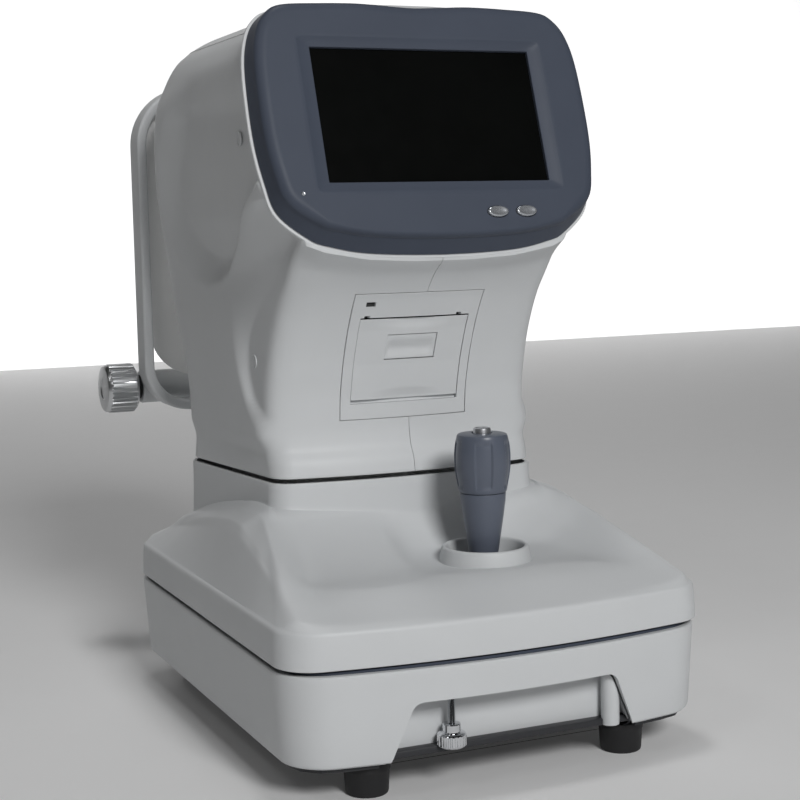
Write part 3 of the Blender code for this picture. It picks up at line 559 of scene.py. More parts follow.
def make_side_shells():
    for name, sign in (("left_shell", -1), ("right_shell", 1)):
        shell = build("side_" + name, *half_shell(sign))
        thicken(shell, SHELL_WALL)
        cut(shell, *turned([(37.6, 340), (37.6, 400)], (0, 0, OPTIC_Z), "Y", 72))
        cut(shell, *block(PRINTER_X - PRINTER_HALF - FIT, PRINTER_X + PRINTER_HALF + FIT, 100, 190,
                          PRINTER_BOTTOM - FIT, PRINTER_TOP + FIT))
        show(shell, "shell", "head", (name,), smooth=28)


def make_top_cover():
    index = np.linspace(0, len(CROWN_LEVELS) - 1, 40)
    table = [(i, *row) for i, row in enumerate(CROWN_LEVELS)]
    rings = [raised(whole_plan(*row[1:]), row[0]) for row in curve(table, index)]
    rings = [rings[0] * (1, 1, 0) + (0, 0, 464.25)] + rings
    rings.append(rings[-1] * (0.5, 1, 1) + (0, 0, 0.1))
    cover = build("head_top", *skin(rings, ends=(False, True)))
    thicken(cover, SHELL_WALL)
    show(cover, "shell", "head", ("top_cover",), smooth=28)


def make_screw_plugs():
    """Round covers over the screws that hold the side shells."""
    for side in (-1, 1):
        for label, y, z, x in (("high", 169.0, 394.0, 110.9), ("low", 192.0, 248.0, 97.4)):
            profile = [(0.4, -0.4), (3.6, -0.3), (4.2, 0.05), (4.45, 0.1), (4.6, -0.6)]
            profile = [(r, side * h) for r, h in profile]
            name = "plug_{}_{}".format(label, "right" if side > 0 else "left")
            piece(name, turned(profile, (side * (x + 0.4), y, z), "X", 40), "shell", "head", smooth=40)


# ---------------------------------------------------------------- screen

BEZEL_DEPTH = 18.0
# Half of the bezel's outline on its face and at its back: across and up from the screen's middle
BEZEL_FACE = [(0, -81), (50, -79), (76, -74.5), (86, -71), (104.5, -57), (110.5, -38), (113.6, -10),
              (113, 34), (109, 56), (101.5, 68), (91, 73.6), (65, 75.4), (40, 76), (20, 75), (0, 74)]
BEZEL_BACK = [(0, -88.4), (50, -86.4), (78, -81), (90, -76), (108, -60), (113.4, -40), (116.8, -10),
              (116, 34), (111.5, 57), (104, 69.4), (93, 75), (66, 76.8), (40, 77.4), (20, 76.4),
              (0, 75.4)]
KEYS = {"print_button": (34.6, -66.5), "reset_button": (55.1, -66.5)}
LAMP_AT = (-95.9, -52.6)
BEZEL_COUNT = 240


def on_screen(outline, w):
    """Points across, up and out from the middle of the leaning screen."""
    outline = np.asarray(outline, float)
    u, v = outline[:, 0], outline[:, 1]
    c, s = math.cos(SCREEN_TILT), math.sin(SCREEN_TILT)
    w = np.broadcast_to(w, u.shape)
    return SCREEN_MIDDLE + np.stack((u, -w * c + v * s, v * c + w * s), axis=1)


def bezel_outline(half):
    right = np.asarray(half, float)
    return spline(np.concatenate((right, right[-2:0:-1] * (-1, 1))), BEZEL_COUNT)


def framed(outline, half_width, low, high, corner=0.0):
    """Where the rays through the outline's points meet a rectangle."""
    middle = (low + high) / 2
    a, b = half_width, (high - low) / 2
    d = outline - (0, middle)
    reach = 1 / np.maximum(np.abs(d[:, 0]) / a, np.abs(d[:, 1]) / b)
    made = d * reach[:, None]
    for sx in (-1, 1):
        for sy in (-1, 1):
            made[np.argmin(np.linalg.norm(made - (sx * a, sy * b), axis=1))] = (sx * a, sy * b)
    if corner:
        centre = np.clip(made, (-(a - corner), -(b - corner)), (a - corner, b - corner))
        out = made - centre
        size = np.linalg.norm(out, axis=1, keepdims=True)
        made = np.where((np.abs(out) > 1e-6).all(axis=1, keepdims=True),
                        centre + out / np.maximum(size, 1e-9) * corner, made)
    return made + (0, middle)


def ellipse(u, v, width, height, sides=64):
    """Outline of an ellipse, by its whole width and height."""
    a = 2 * np.pi * np.arange(sides) / sides
    return np.stack((u + width / 2 * np.cos(a), v + height / 2 * np.sin(a)), axis=1)


def make_bezel():
    face, back = bezel_outline(BEZEL_FACE), bezel_outline(BEZEL_BACK)
    chin = ease(-62, -78, face[:, 1])
    edge = 6.0 - 4.0 * chin
    rings = [on_screen(offset(back, -2.0), -BEZEL_DEPTH), on_screen(offset(back, -0.5), -17.8),
             on_screen(back, -17.2)]
    for t in (0.25, 0.5, 0.75, 1.0):
        rings.append(on_screen(back + (offset(face, 0.9) - back) * t, -17.2 + 11.6 * t))
    for a in np.radians(np.linspace(8, 90, 9)):
        shrink = 0.9 - (edge + 0.9) * (1 - math.cos(a))
        rings.append(on_screen(offset_by(face, shrink), -5.6 + 5.6 * math.sin(a)))
    start = offset_by(face, -edge)
    recess = framed(face, 85.6, -51.6, 51.9, 2.5)
    for t in np.linspace(0.03, 1, 9):
        rings.append(on_screen(start + (recess - start) * t, 0.0))
    for *frame_size, w in ((85.2, -51.2, 51.5, 2.3, -0.12), (84.6, -50.6, 50.9, 2.0, -0.5),
                           (77.4, -45.4, 45.4, 0.4, -1.6), (77.05, -45.05, 45.05, 0.2, -1.9),
                           (77.05, -45.05, 45.05, 0.2, -4.1), (81.2, -49.2, 49.2, 0.0, -4.1),
                           (81.2, -49.2, 49.2, 0.0, -BEZEL_DEPTH)):
        rings.append(on_screen(framed(face, *frame_size), w))
    bezel = build("screen_bezel", *skin(rings, loop=True))
    holes = [((*at, 15.4, 8.2), (-22.0, 4.0)) for at in KEYS.values()]
    for outline, levels in holes + [((*LAMP_AT, 2.6, 2.6, 24), (-1.6, 2.0))]:
        cut(bezel, *solid([on_screen(ellipse(*outline), w) for w in levels]))
    show(bezel, "slate", "head", ("bezel",), smooth=24)


def make_screen():
    line = bezel_outline(BEZEL_FACE)
    rings = []
    for grow, w in ((0.0, -6.2), (0.0, -4.6), (-0.25, -4.42), (-4, -4.4)):
        rings.append(on_screen(framed(line, 80.7 + grow, -48.7 - grow, 48.7 + grow), w))
    piece("display_glass", solid(rings), "screen", "head", ("screen_glass",), smooth=20)
    for name, (u, v) in KEYS.items():
        rings = [on_screen(ellipse(u, v, 14.6, 7.4), w) for w in (-5.0, 0.6)]
        for a in np.radians((25, 50, 75, 90)):
            shrink = 2.2 * (1 - math.cos(a))
            rings.append(on_screen(ellipse(u, v, 14.6 - shrink, 7.4 - shrink), 0.6 + 1.1 * math.sin(a)))
        rings.append(on_screen(ellipse(u, v, 9.6, 3.6), 1.45))
        rings.append(on_screen(ellipse(u, v, 4.0, 1.5), 1.4))
        piece(name.replace("button", "key_cap"), solid(rings),
              "button", name.replace("button", "key"), (name,), smooth=34)
    rings = [on_screen(ellipse(*LAMP_AT, d, d, 24), w)
             for d, w in ((2.5, -1.5), (2.5, 0.05), (2.1, 0.25), (1.4, 0.2), (1.2, -0.8))]
    piece("status_lamp", solid(rings), "button", "head", smooth=40)


def make_bezel_lip():
    """Edge of the shells that shows round the back of the bezel."""
    back = bezel_outline(BEZEL_BACK)
    rings = []
    for amount, w in ((-6.0, -18.2), (0.9, -18.2), (1.5, -LIP_DEPTH), (1.8, -18.8), (1.9, -20.0),
                      (1.4, -21.4), (-6.0, -21.4)):
        rings.append(on_screen(offset(back, amount), w))
    piece("shell_lip", skin(rings, loop=True), "shell", "head", smooth=30)


# ---------------------------------------------------------------- printer

PRINTER_X, PRINTER_HALF, PRINTER_BOW = -3.0, 46.0, 3.2
PRINTER_BOTTOM, PRINTER_TOP = 208.0, 293.0
FIT = 0.35                    # gap round the printer's panel and its door
DOOR_BOTTOM, DOOR_TOP, DOOR_HALF = 221.0, 276.0, 39.0
LATCH_BOTTOM, LATCH_TOP, LATCH_HALF = 248.4, 264.8, 18.0


def neck_front(x, z):
    """Y of the front of the printer's pieces: the neck's front with a bow across."""
    base = np.interp(z, [row[0] for row in SHELL_LEVELS], [row[1] for row in SHELL_LEVELS])
    fine = curve([row[:2] for row in SHELL_LEVELS], np.ravel(z))[:, 0].reshape(np.shape(z))
    return 0.5 * base + 0.5 * fine + PRINTER_BOW * ((x - PRINTER_X) / PRINTER_HALF) ** 2


def patch(half, low, high, lift, depth, round_edge=0.5, relief=None, columns=48, rows=36):
    """A closed curved piece that follows the front of the neck."""
    s = np.concatenate(([-1.0], np.linspace(-1 + 0.5 * round_edge / half, 1 - 0.5 * round_edge / half,
                                            columns), [1.0]))
    t = np.concatenate(([0.0], np.linspace(0.5 * round_edge / (high - low),
                                           1 - 0.5 * round_edge / (high - low), rows), [1.0]))
    x, z = np.meshgrid(PRINTER_X + half * s, low + (high - low) * t)
    y = neck_front(x, z)
    front = y - lift
    if relief:
        front = front + relief(x, z)
    edge = np.ones(x.shape)
    edge[1:-1, 1:-1] = 0.0
    front = front + edge * 0.5 * round_edge
    back = y + depth
    sections = []
    for i in range(x.shape[0]):
        near = np.stack((x[i], front[i], z[i]), axis=1)
        far = np.stack((x[i], back[i], z[i]), axis=1)[::-1]
        sections.append(np.concatenate((near, far)))
    points, faces = skin(sections)
    width = x.shape[1]
    for row in (0, x.shape[0] - 1):
        start = row * 2 * width
        for j in range(width - 1):
            a, b = start + j, start + j + 1
            c, d = start + 2 * width - 2 - j, start + 2 * width - 1 - j
            faces.append((a, d, c, b) if row == 0 else (a, b, c, d))
    return points, faces


def scallop(x, z):
    """Shallow finger scoops at the top and the bottom of the printer's door."""
    made = np.zeros(x.shape)
    for centre, half, height in ((DOOR_TOP, 31.0, 8.6), (DOOR_BOTTOM, 32.0, 8.6)):
        away = np.sqrt(((x - PRINTER_X) / half) ** 2 + ((z - centre) / height) ** 2)
        made += 1.5 * (1 - ease(0.15, 1.0, away))
    return made


def latch_dish(x, z):
    """Hollow across the latch, deepest above its middle."""
    t = np.clip((z - LATCH_BOTTOM) / (LATCH_TOP - LATCH_BOTTOM), 0, 1)
    return 1.5 * np.sin(np.pi * np.clip(t * 1.15, 0, 1)) ** 2 * (1 - ease(0.8, 1.0, np.abs(
        (x - PRINTER_X) / LATCH_HALF)))


def make_printer():
    panel = build("printer_panel", *patch(PRINTER_HALF, PRINTER_BOTTOM, PRINTER_TOP, 0.5, 4.0))
    cut(panel, *block(PRINTER_X - DOOR_HALF - FIT, PRINTER_X + DOOR_HALF + FIT, 100, 190,
                      DOOR_BOTTOM - 2.6, DOOR_TOP + 1.0))
    for x in (PRINTER_X - 35.0, PRINTER_X + 31.0):
        cut(panel, *block(x - 1.9, x + 1.9, 100, 190, DOOR_TOP + 0.6, DOOR_TOP + 2.4))
    face = float(neck_front(-37.0, 286.0))
    cut(panel, *block(-40.5, -34.0, 100, face + 0.7, 284.6, 287.6))
    show(panel, "shell", "head", ("printer_frame",), smooth=26)
    pane = build("paper_lamp", *block(-40.4, -34.1, face + 0.5, face + 1.6, 284.7, 287.5))
    bevel(pane, 0.15, 2)
    show(pane, "inlet", "head")

    door = build("paper_door", *patch(DOOR_HALF, DOOR_BOTTOM, DOOR_TOP, 0.2, 3.2, relief=scallop,
                                      columns=80, rows=60))
    cut(door, *block(PRINTER_X - LATCH_HALF - 0.25, PRINTER_X + LATCH_HALF + 0.25, 100, 190,
                     LATCH_BOTTOM - 0.5, LATCH_TOP + 0.3))
    show(door, "shell", "printer_lid", ("printer_door",), smooth=26)

    piece("latch_tongue",
          patch(LATCH_HALF, LATCH_BOTTOM, LATCH_TOP, -0.5, 2.8, relief=latch_dish, columns=40, rows=24),
          "shell", "lid_latch", ("door_latch",), smooth=26)


def make_printer_groove():
    """Floor of the groove below the door."""
    x = np.linspace(PRINTER_X - DOOR_HALF, PRINTER_X + DOOR_HALF, 24)
    rings = []
    for at in x:
        y = float(neck_front(at, DOOR_BOTTOM))
        rings.append([(at, y + 2.6, 218.5), (at, y + 3.0, 220.9), (at, y + 3.6, 220.9),
                      (at, y + 3.6, 218.5)])
    piece("door_seal", solid(rings), "shell", "head")


# ---------------------------------------------------------------- stage cover

RIM = even(6.5, 141.0, 9.5, 25.0, 344.0)
COLLAR_FOOT = (148.3, 98.8, 8.6, 17.0, 112.4, 316.0, 22.0)
COLLAR_END = (149.2, 97.8, 8.8, 17.0, 111.5, 314.5, 22.0)
COLLAR_TOP = 168.5
RIM_TOP, APRON_RISE = 105.6, 12.4
STICK_AT = (27.5, 101.0)

# Lines along the stage: y, height in the middle, then x and z of the valley, the crest, the upper
# and the lower edge of the crescent step
STAGE_LINES = [
    (2.0, 105.6, 112, 105.6, 131, 105.6, 134, 105.6, 137, 105.6),
    (8.0, 106.0, 112, 106.0, 132, 106.3, 135, 106.0, 138, 105.8),
    (24.0, 109.3, 112, 109.3, 134, 110.3, 136, 109.0, 138, 107.6),
    (38.0, 112.2, 111, 112.2, 132, 114.5, 134.5, 112.2, 137, 109.5),
    (55.0, 115.7, 107, 114.6, 130, 119.5, 132.5, 117.0, 135, 113.3),
    (70.0, 118.2, 101, 115.0, 127, 125.0, 130, 121.7, 132.3, 117.8),
    (84.0, 119.4, 95, 115.3, 123, 130.0, 127.7, 125.7, 129.3, 124.0),
    (100.0, 119.7, 91, 116.5, 119.3, 135.2, 126.2, 129.8, 128.0, 129.2),
    (120.0, 119.8, 85, 119.0, 115.6, 141.0, 124.0, 136.3, 127.0, 132.8),
    (134.0, 119.9, 66, 122.0, 112.7, 145.2, 122.7, 138.6, 126.2, 135.8),
    (141.0, 128.5, 60, 130.0, 111.2, 147.0, 122.4, 140.0, 125.8, 137.0),
    (146.0, 139.0, 80, 141.0, 110.2, 148.3, 122.2, 141.2, 125.6, 137.7),
    (150.0, 147.5, 97.5, 150.0, 109.5, 149.2, 122.0, 142.0, 125.4, 138.2),
    (160.0, 152.0, 99.2, 154.0, 110.5, 150.8, 121.4, 144.4, 124.9, 139.1),
    (182.0, 154.0, 101.0, 154.7, 112.0, 150.3, 120.6, 144.0, 124.2, 138.0),
    (209.0, 151.0, 103.4, 151.7, 113.0, 147.2, 120.2, 141.6, 123.6, 135.4),
    (238.0, 147.0, 106.0, 147.0, 114.0, 142.0, 120.0, 136.9, 123.0, 131.2),
    (273.0, 139.0, 109.2, 139.0, 115.0, 134.8, 120.0, 128.9, 122.0, 125.3),
    (294.0, 132.0, 111.2, 132.2, 116.0, 129.2, 120.2, 123.3, 121.0, 121.8),
    (330.0, 122.0, 113.0, 122.0, 118.0, 119.5, 121.5, 116.6, 123.5, 115.2),
    (350.0, 118.0, 113.0, 118.0, 118.0, 116.0, 121.5, 113.5, 124.0, 112.0)]
STAGE_REAR = [(310, 175), (314, 150), (315.5, 140), (318, 128), (321, 121), (326, 116.4), (334, 112.5),
              (341, 107.6), (344, 105.6), (350, 105.4)]
APRON_EDGE = [(-141, 60), (-127, 70), (-107, 82), (-92, 65), (-67, 54), (-45, 60), (-23, 74), (4, 65),
              (38, 64), (72, 68), (105, 57), (127, 59), (141, 60)]


def stage_floor(x, y):
    """Front apron and the dish behind it, which runs up to the collar."""
    reach = np.interp(x, *np.array(APRON_EDGE, float).T)
    apron = RIM_TOP + APRON_RISE * (y - RIM[0]) / (reach - RIM[0])
    t = np.clip((y - reach) / (149.5 - reach), 0, 1)
    right = ease(-34, 4, x)
    start = -1.1 * np.clip(t / 0.3, 0, 1)
    dish = 118 + start + (28.6 - start) * t ** (1.75 + 7.5 * right)
    return np.where(y < reach, apron, dish)


def stage_height(x, y):
    """Height of the stage's cover, between its rim and its collar."""
    shape = x.shape
    x, y = x.ravel(), y.ravel()
    line = curve(STAGE_LINES, np.clip(y, 2, 350))
    side, left = np.abs(x), x < 0
    valley = np.where(left & (y < 149), np.interp(y, (0, 60, 100, 149), (112, 108, 94, 88)),
                      line[:, 1])
    low = np.where(left & (y < 149), stage_floor(-valley, y), line[:, 2])
    xs = [valley, line[:, 3], line[:, 5], line[:, 7], np.full(len(x), 141.0)]
    zs = [low, line[:, 4], line[:, 6], line[:, 8], np.full(len(x), 105.5)]
    middle = np.where(y < 149, stage_floor(x, y), line[:, 0])
    dip = np.where(left, 0.0, low - stage_floor(valley, y)) * (y < 149)
    z = middle + dip * np.clip(side / xs[0], 0, 1) ** 3
    for k in range(4):
        t = (side - xs[k]) / np.maximum(xs[k + 1] - xs[k], 0.1)
        if k == 0:
            t = np.where(left, t * t * (3 - 2 * t) * 0.5 + t * 0.5, t)
        z = np.where(side >= xs[k], zs[k] + (zs[k + 1] - zs[k]) * np.clip(t, 0, 1), z)
    z = soft_min(z, np.interp(y, *np.array(STAGE_REAR, float).T), 1.0)
    return z.reshape(shape)


def soft_min(a, b, width):
    """The lower of two heights, with a soft change from one to the other."""
    mix = np.clip(0.5 + 0.5 * (b - a) / width, 0, 1)
    return b + (a - b) * mix - width * mix * (1 - mix) * 0.5


def make_stage_cover():
    counts = (34, 14, 90, 14, 30)
    rim, foot = whole_plan(*RIM, counts=counts), whole_plan(*COLLAR_FOOT, counts=counts)
    rings = []
    for z, *sizes in ((82.5, 3.4, 143.7, 10.0, 26.0, 346.4), (82.9, 3.0, 144.1, 10.0, 26.0, 346.8),
                      (88.0, 3.0, 144.1, 10.0, 26.0, 346.8), (95.0, 3.4, 143.8, 10.0, 26.0, 346.7),
                      (101.5, 3.9, 143.4, 10.0, 26.0, 346.5), (103.2, 4.1, 143.2, 10.0, 26.0, 346.4),
                      (104.3, 4.6, 142.7, 9.8, 25.6, 345.9), (105.1, 5.5, 141.9, 9.6, 25.3, 345.0)):
        rings.append(raised(whole_plan(*even(*sizes), counts=counts), z))
    steps = np.linspace(0, 1, 72)
    plans = np.array([rim + (foot - rim) * t for t in steps])
    height = stage_height(plans[..., 0], plans[..., 1])
    height[0] = RIM_TOP
    for _ in range(3):
        height[1:-4] = 0.5 * height[1:-4] + 0.25 * (height[:-5] + height[2:-3])
        beside = np.roll(height, 1, axis=1) + np.roll(height, -1, axis=1)
        height[1:-4] = 0.4 * height[1:-4] + 0.3 * beside[1:-4]
    for plan, z in zip(plans, height):
        rings.append(np.column_stack((plan, z)))
    last = height[-1]
    top = whole_plan(*COLLAR_END, counts=counts)
    for t in (0.04, 0.12, 0.4, 0.7, 0.96):
        z = last + 0.6 + (COLLAR_TOP - last - 0.6) * t
        rings.append(np.column_stack((foot + (top - foot) * min(1, 0.35 + t), z)))
    for amount, z in ((0.12, COLLAR_TOP - 0.35), (0.5, COLLAR_TOP), (2.6, COLLAR_TOP)):
        rings.append(raised(whole_plan(*inset(COLLAR_END, amount), counts=counts), z))
    cover = build("stage_shell", *skin(rings))
    thicken(cover, 2.4)
    cut(cover, *turned([(24.6, 100), (24.6, 140)], (*STICK_AT, 0), sides=96))
    show(cover, "shell", "stage", ("stage_cover",), smooth=30)


# ---------------------------------------------------------------- joystick

def make_joystick():
    x, y = STICK_AT
    profile = [(30.6, 116.6), (30.2, 119.4), (29.0, 123.6), (28.7, 125.6), (28.2, 126.6), (27.5, 127.1),
               (26.6, 127.1), (25.8, 126.6), (25.4, 125.6), (25.0, 121.0), (24.7, 116.8)]
    piece("stick_collar", turned(profile, (x, y, 0), sides=128, hollow=True),
          "shell", "stage", ("joystick_ring",), smooth=38)
    x -= 1.2

    shaft = [(2.0, 83.0), (3.6, 84.4), (3.6, 88), (5.0, 96), (7.5, 101), (7.5, 118), (9.0, 121.4),
             (9.6, 122.2), (9.9, 123.2), (13.6, 148), (14.8, 156.6), (15.1, 161.2), (14.9, 162.2),
             (14.0, 162.4), (8.0, 162.4), (8.0, 192.0)]
    # The cone takes the lighter slate copy, whose colour paints light.
    piece("stick_cone", turned(shaft, (x, y, 0), sides=96),
          "slate", "joystick", ("joystick_shaft",), smooth=34, finish="stick")

    def flute(angles, height):
        """Ten flat ribs that stand a little proud, between two plain ends."""
        reach = ease(164.5, 168.0, height) - ease(194.0, 198.0, height)
        wave = np.cos(5 * angles + 0.5)
        return -1.0 * reach * (1 - ease(-0.12, 0.12, wave))

    heights = np.linspace(162.8, 198.6, 50)
    shape = [(162.7, 15.4), (164, 15.9), (168, 16.7), (174, 17.8), (180, 18.4), (186, 18.5),
             (192, 18.1), (196, 17.4), (198.6, 16.8)]
    radii = curve(shape, np.clip(heights, 162.7, 198.6))[:, 0]
    outer = [(15.0, 162.7)] + list(zip(radii, heights))
    outer += [(16.6, 199.6), (16.1, 200.4), (15.2, 200.8), (9.4, 201.3), (7.4, 201.3), (6.9, 201.0),
              (6.4, 200.2), (6.4, 193), (8.4, 192.4), (8.4, 162.7)]
    # The barrel takes the lighter slate copy, whose colour paints light.
    piece("stick_barrel", turned(outer, (x, y, 0), sides=192, hollow=True, flute=flute),
          "slate", "grip", ("joystick_grip",), smooth=24, finish="stick")

    profile = [(5.8, 193.8), (5.8, 203.4), (5.6, 204.2), (5.0, 204.7), (4.3, 204.7), (4.1, 204.4),
               (0.5, 204.4)]
    piece("stick_button", turned(profile, (x, y, 0), sides=64),
          "silver", "trigger", ("trigger_button",), smooth=30)


# ---------------------------------------------------------------- base

BASE_COUNTS = (14, 16, 40, 14, 14)
NOTCH_TOP, NOTCH_HALF_TOP, NOTCH_HALF_BOTTOM = 59.0, 68.0, 83.0
LOCK_AT = (-41.0, 13.0)


def notch_outline(grow, bottom):
    """Trapezium with rounded upper corners, in X and Z."""
    slope = (NOTCH_HALF_BOTTOM - NOTCH_HALF_TOP) / (NOTCH_TOP - 23.0)
    low = NOTCH_HALF_BOTTOM + grow + slope * (23.0 - bottom)
    corners = [(-low, bottom), (low, bottom), (NOTCH_HALF_TOP + grow, NOTCH_TOP + grow),
               (-NOTCH_HALF_TOP - grow, NOTCH_TOP + grow)]
    line = rounded(corners + [corners[0]], 6.0 + grow, 6)
    return line[:-1] if np.allclose(line[0], line[-1]) else line


def make_base_tray():
    outer = [(23.0, 5.0, 138.2, 9.7, 30.0, 348.4), (23.3, 4.3, 138.9, 9.7, 30.0, 349.1),
             (24.4, 3.2, 140.0, 9.7, 31.0, 350.0), (26.5, 2.7, 140.5, 9.7, 31.0, 350.5),
             (45.0, 1.6, 141.8, 10.1, 32.0, 352.2), (75.5, 0.15, 143.6, 10.6, 33.0, 354.5),
             (77.6, 0.1, 143.65, 10.6, 33.0, 354.55), (78.6, 0.35, 143.4, 10.6, 32.7, 354.3),
             (79.3, 0.95, 142.8, 10.6, 32.2, 353.7), (79.5, 1.7, 142.1, 10.6, 31.6, 353.0),
             (79.5, 4.2, 139.6, 10.6, 29.4, 350.5), (60.0, 4.8, 139.0, 10.4, 28.6, 350.0),
             (27.0, 7.0, 136.4, 9.7, 27.0, 346.6)]
    rings = [raised(whole_plan(*even(*sizes), counts=BASE_COUNTS), z) for z, *sizes in outer]
    tray = build("base_body", *solid(rings))
    cut(tray, *prism(notch_outline(0.0, 15.0), -5.0, 10.0, "Y"))
    cut(tray, *prism(notch_outline(2.6, 14.0), 9.4, 24.6, "Y"))
    cut(tray, *block(29.8, 85.2, 340, 365, 39.3, 60.7))
    show(tray, "shell", "base", ("base_tray",), smooth=26)


def make_screw_recess():
    pocket = build("lock_pocket", *prism(notch_outline(2.2, 23.3), 10.6, 23.9, "Y"))
    cut(pocket, *prism(notch_outline(0.3, 14.0), 6.0, 22.0, "Y"))
    cut(pocket, *turned([(2.9, 50), (2.9, 70)], (*LOCK_AT, 0), sides=40))
    show(pocket, "shell", "base", ("screw_recess",), smooth=30)
    piece("pocket_post", turned([(5.6, 23.6), (5.8, 24.4), (5.9, 58.9)], (70.5, 15.6, 0), sides=56),
          "shell", "base", smooth=30)
    # Dark ring on the notch's cut edge: painted shade on the edge's thickness.
    edge, inner = notch_outline(0.15, 23.3), notch_outline(-0.75, 23.3)
    rings = [[(x, y, z) for x, z in line] for line, y in ((edge, 9.6), (inner, 9.6), (inner, 10.4),
                                                         (edge, 10.4))]
    piece("pocket_edge_painted_shade", skin(rings, loop=True), "dark_metal", "base")
    # Dark block under the pocket's rear wall: painted shade below the wall's lower edge.
    sill = build("pocket_sill_painted_shade", *block(-84.0, 84.0, 15.0, 21.8, 23.4, 27.6))
    bevel(sill, 0.5, 2)
    show(sill, "dark_metal", "base")


def make_deck_lip():
    """Dark lip that fills the gap between the base and the stage."""
    rings = []
    for amount, z in ((0.4, 78.6), (0.4, 80.6), (0.8, 81.1), (3.5, 81.1), (3.5, 78.6)):
        sizes = inset(even(4.3, 139.5, 10.6, 29.0, 350.4), amount)
        rings.append(raised(whole_plan(*sizes, counts=BASE_COUNTS), z))
    piece("deck_lip", skin(rings, loop=True), "slate", "base", smooth=30)


def make_lock_screw():
    rod = []
    for z in np.arange(41.4, 78.3, 0.5):
        rod += [(2.05, z), (2.3, z + 0.25)]
    rod = [(2.0, 41.3)] + rod + [(1.7, 78.8), (1.0, 79.3)]
    piece("lock_rod", turned(rod, (*LOCK_AT, 0), sides=32),
          "chrome", "lock_rod", ("lock_screw_rod",), smooth=20)

    def knurl(angles, height):
        return 0.28 * np.sign(np.cos(20 * angles)) * (28 < height < 34.4)

    head = [(3.0, 26.7), (7.4, 26.8), (8.3, 27.4), (8.7, 28.1), (8.75, 28.2), (8.75, 34.2), (8.7, 34.5),
            (8.2, 35.2), (7.6, 35.6), (5.9, 35.8), (5.5, 36.2), (5.5, 40.5), (5.1, 41.0), (3.0, 41.1)]
    piece("lock_head", turned(head, (*LOCK_AT, 0), sides=160, flute=knurl),
          "chrome", "lock_knob", ("lock_screw_knob",), smooth=30)


def make_feet():
    for name in [node for node in frame["nodes"] if node.startswith("foot_")]:
        low, high = cad(name)
        centre = ((low[0] + high[0]) / 2, (low[1] + high[1]) / 2, 0)
        radius, top = (high[0] - low[0]) / 2, high[2]
        profile = [(radius - 5.0, 0.9), (radius - 3.6, 0.9), (radius - 3.4, 0.0), (radius - 2.2, 0.0),
                   (radius - 1.6, 0.5), (radius - 1.3, 1.6), (radius - 0.6, top - 5.6),
                   (radius - 0.1, top - 4.6), (radius, top - 3.8), (radius, top - 0.4),
                   (radius - 0.4, top)]
        piece(name.replace("foot", "pad_foot"), turned(profile, centre, sides=80),
              "rubber", "base", (name,), smooth=34)


# ---------------------------------------------------------------- patient's side

FRAME_HALF, FRAME_BOTTOM, FRAME_TOP = 115.5, 193.0, 446.0
FRAME_FRONT, FRAME_REAR = 404.0, 426.4
CHIN_AXIS = (0.0, 440.0, 210.0)


def loop_outline(half, low, high, low_corner, high_corner, steps=14):
    """Rounded outline in X and Z, with its own corner radius at the bottom and at the top."""
    corners = ((1, low + low_corner, low_corner, -90), (1, high - high_corner, high_corner, 0),
               (-1, high - high_corner, high_corner, 90), (-1, low + low_corner, low_corner, 180))
    return np.concatenate([arc(sign * (half - r), cz, r, start, start + 90, steps)
                           for sign, cz, r, start in corners])


def frame_outline(grow):
    return loop_outline(FRAME_HALF + grow, FRAME_BOTTOM - grow, FRAME_TOP + grow, 36 + grow, 46 + grow)


def upright(outline, y):
    """An outline in X and Z at a depth."""
    return np.insert(np.asarray(outline, float), 1, y, axis=1)


def make_face_frame():
    section = rounded([(0, FRAME_FRONT), (0, FRAME_REAR), (-8, FRAME_REAR), (-8, FRAME_FRONT)], 2.6, 6,
                      closed=True)
    rings = [upright(frame_outline(grow), y) for grow, y in section]
    piece("rest_frame", skin(rings, loop=True), "shell", "base", ("face_frame",), smooth=30)


def make_face_panel():
    outer = loop_outline(FRAME_HALF - 8.4, 220.0, FRAME_TOP - 8.4, 36.0, 37.6)
    inner = loop_outline(74.0, 240.0, 424.0, 55.0, 55.0)
    rings = [upright(outer, 414.0), upright(outer, 417.0), upright(inner, 417.0)]
    mid = inner.mean(axis=0)
    shrink = mid + (inner - mid) * 0.994
    rings += [upright(shrink, 416.4), upright(shrink, 414.6), upright(inner, 414.0)]
    piece("rest_panel", skin(rings, loop=True), "panel", "base", ("face_panel",), smooth=30)


def make_forehead_pad():
    """Soft pad with a crowned front, sides that pull in, and a seam round its back."""
    rings = []
    for x in np.linspace(-58, 58, 61):
        end = max(0.0, (abs(x) - 51.0) / 7.0)
        round_off = math.sqrt(max(0.0, 1 - end * end))
        half = 6.0 * (0.35 + 0.65 * round_off)
        proud = 1.8 + (10.0 - 0.0010 * x * x) * (0.25 + 0.75 * round_off)
        ring = []
        for a in np.linspace(-90, 90, 25):
            c, s = math.cos(math.radians(a)), math.sin(math.radians(a))
            ring.append((x, 417.5 + proud * abs(c) ** 0.72, 430 + half * math.copysign(abs(s) ** 0.8, s)))
        rings.append(ring)
    pad = build("brow_pad", *solid(rings))
    show(pad, "pad", "base", ("forehead_pad",), smooth=50)
    rings = []
    for a in np.linspace(0, 2 * np.pi, 9)[:-1]:
        shifted = loop_outline(58.2 + 0.55 * math.cos(a), 423.8 - 0.55 * math.cos(a),
                               436.2 + 0.55 * math.cos(a), 5.8, 5.8, 6)
        rings.append(upright(shifted, 418.2 + 0.55 * math.sin(a)))
    piece("brow_piping", skin(rings, loop=True), "pad", "base", smooth=60)


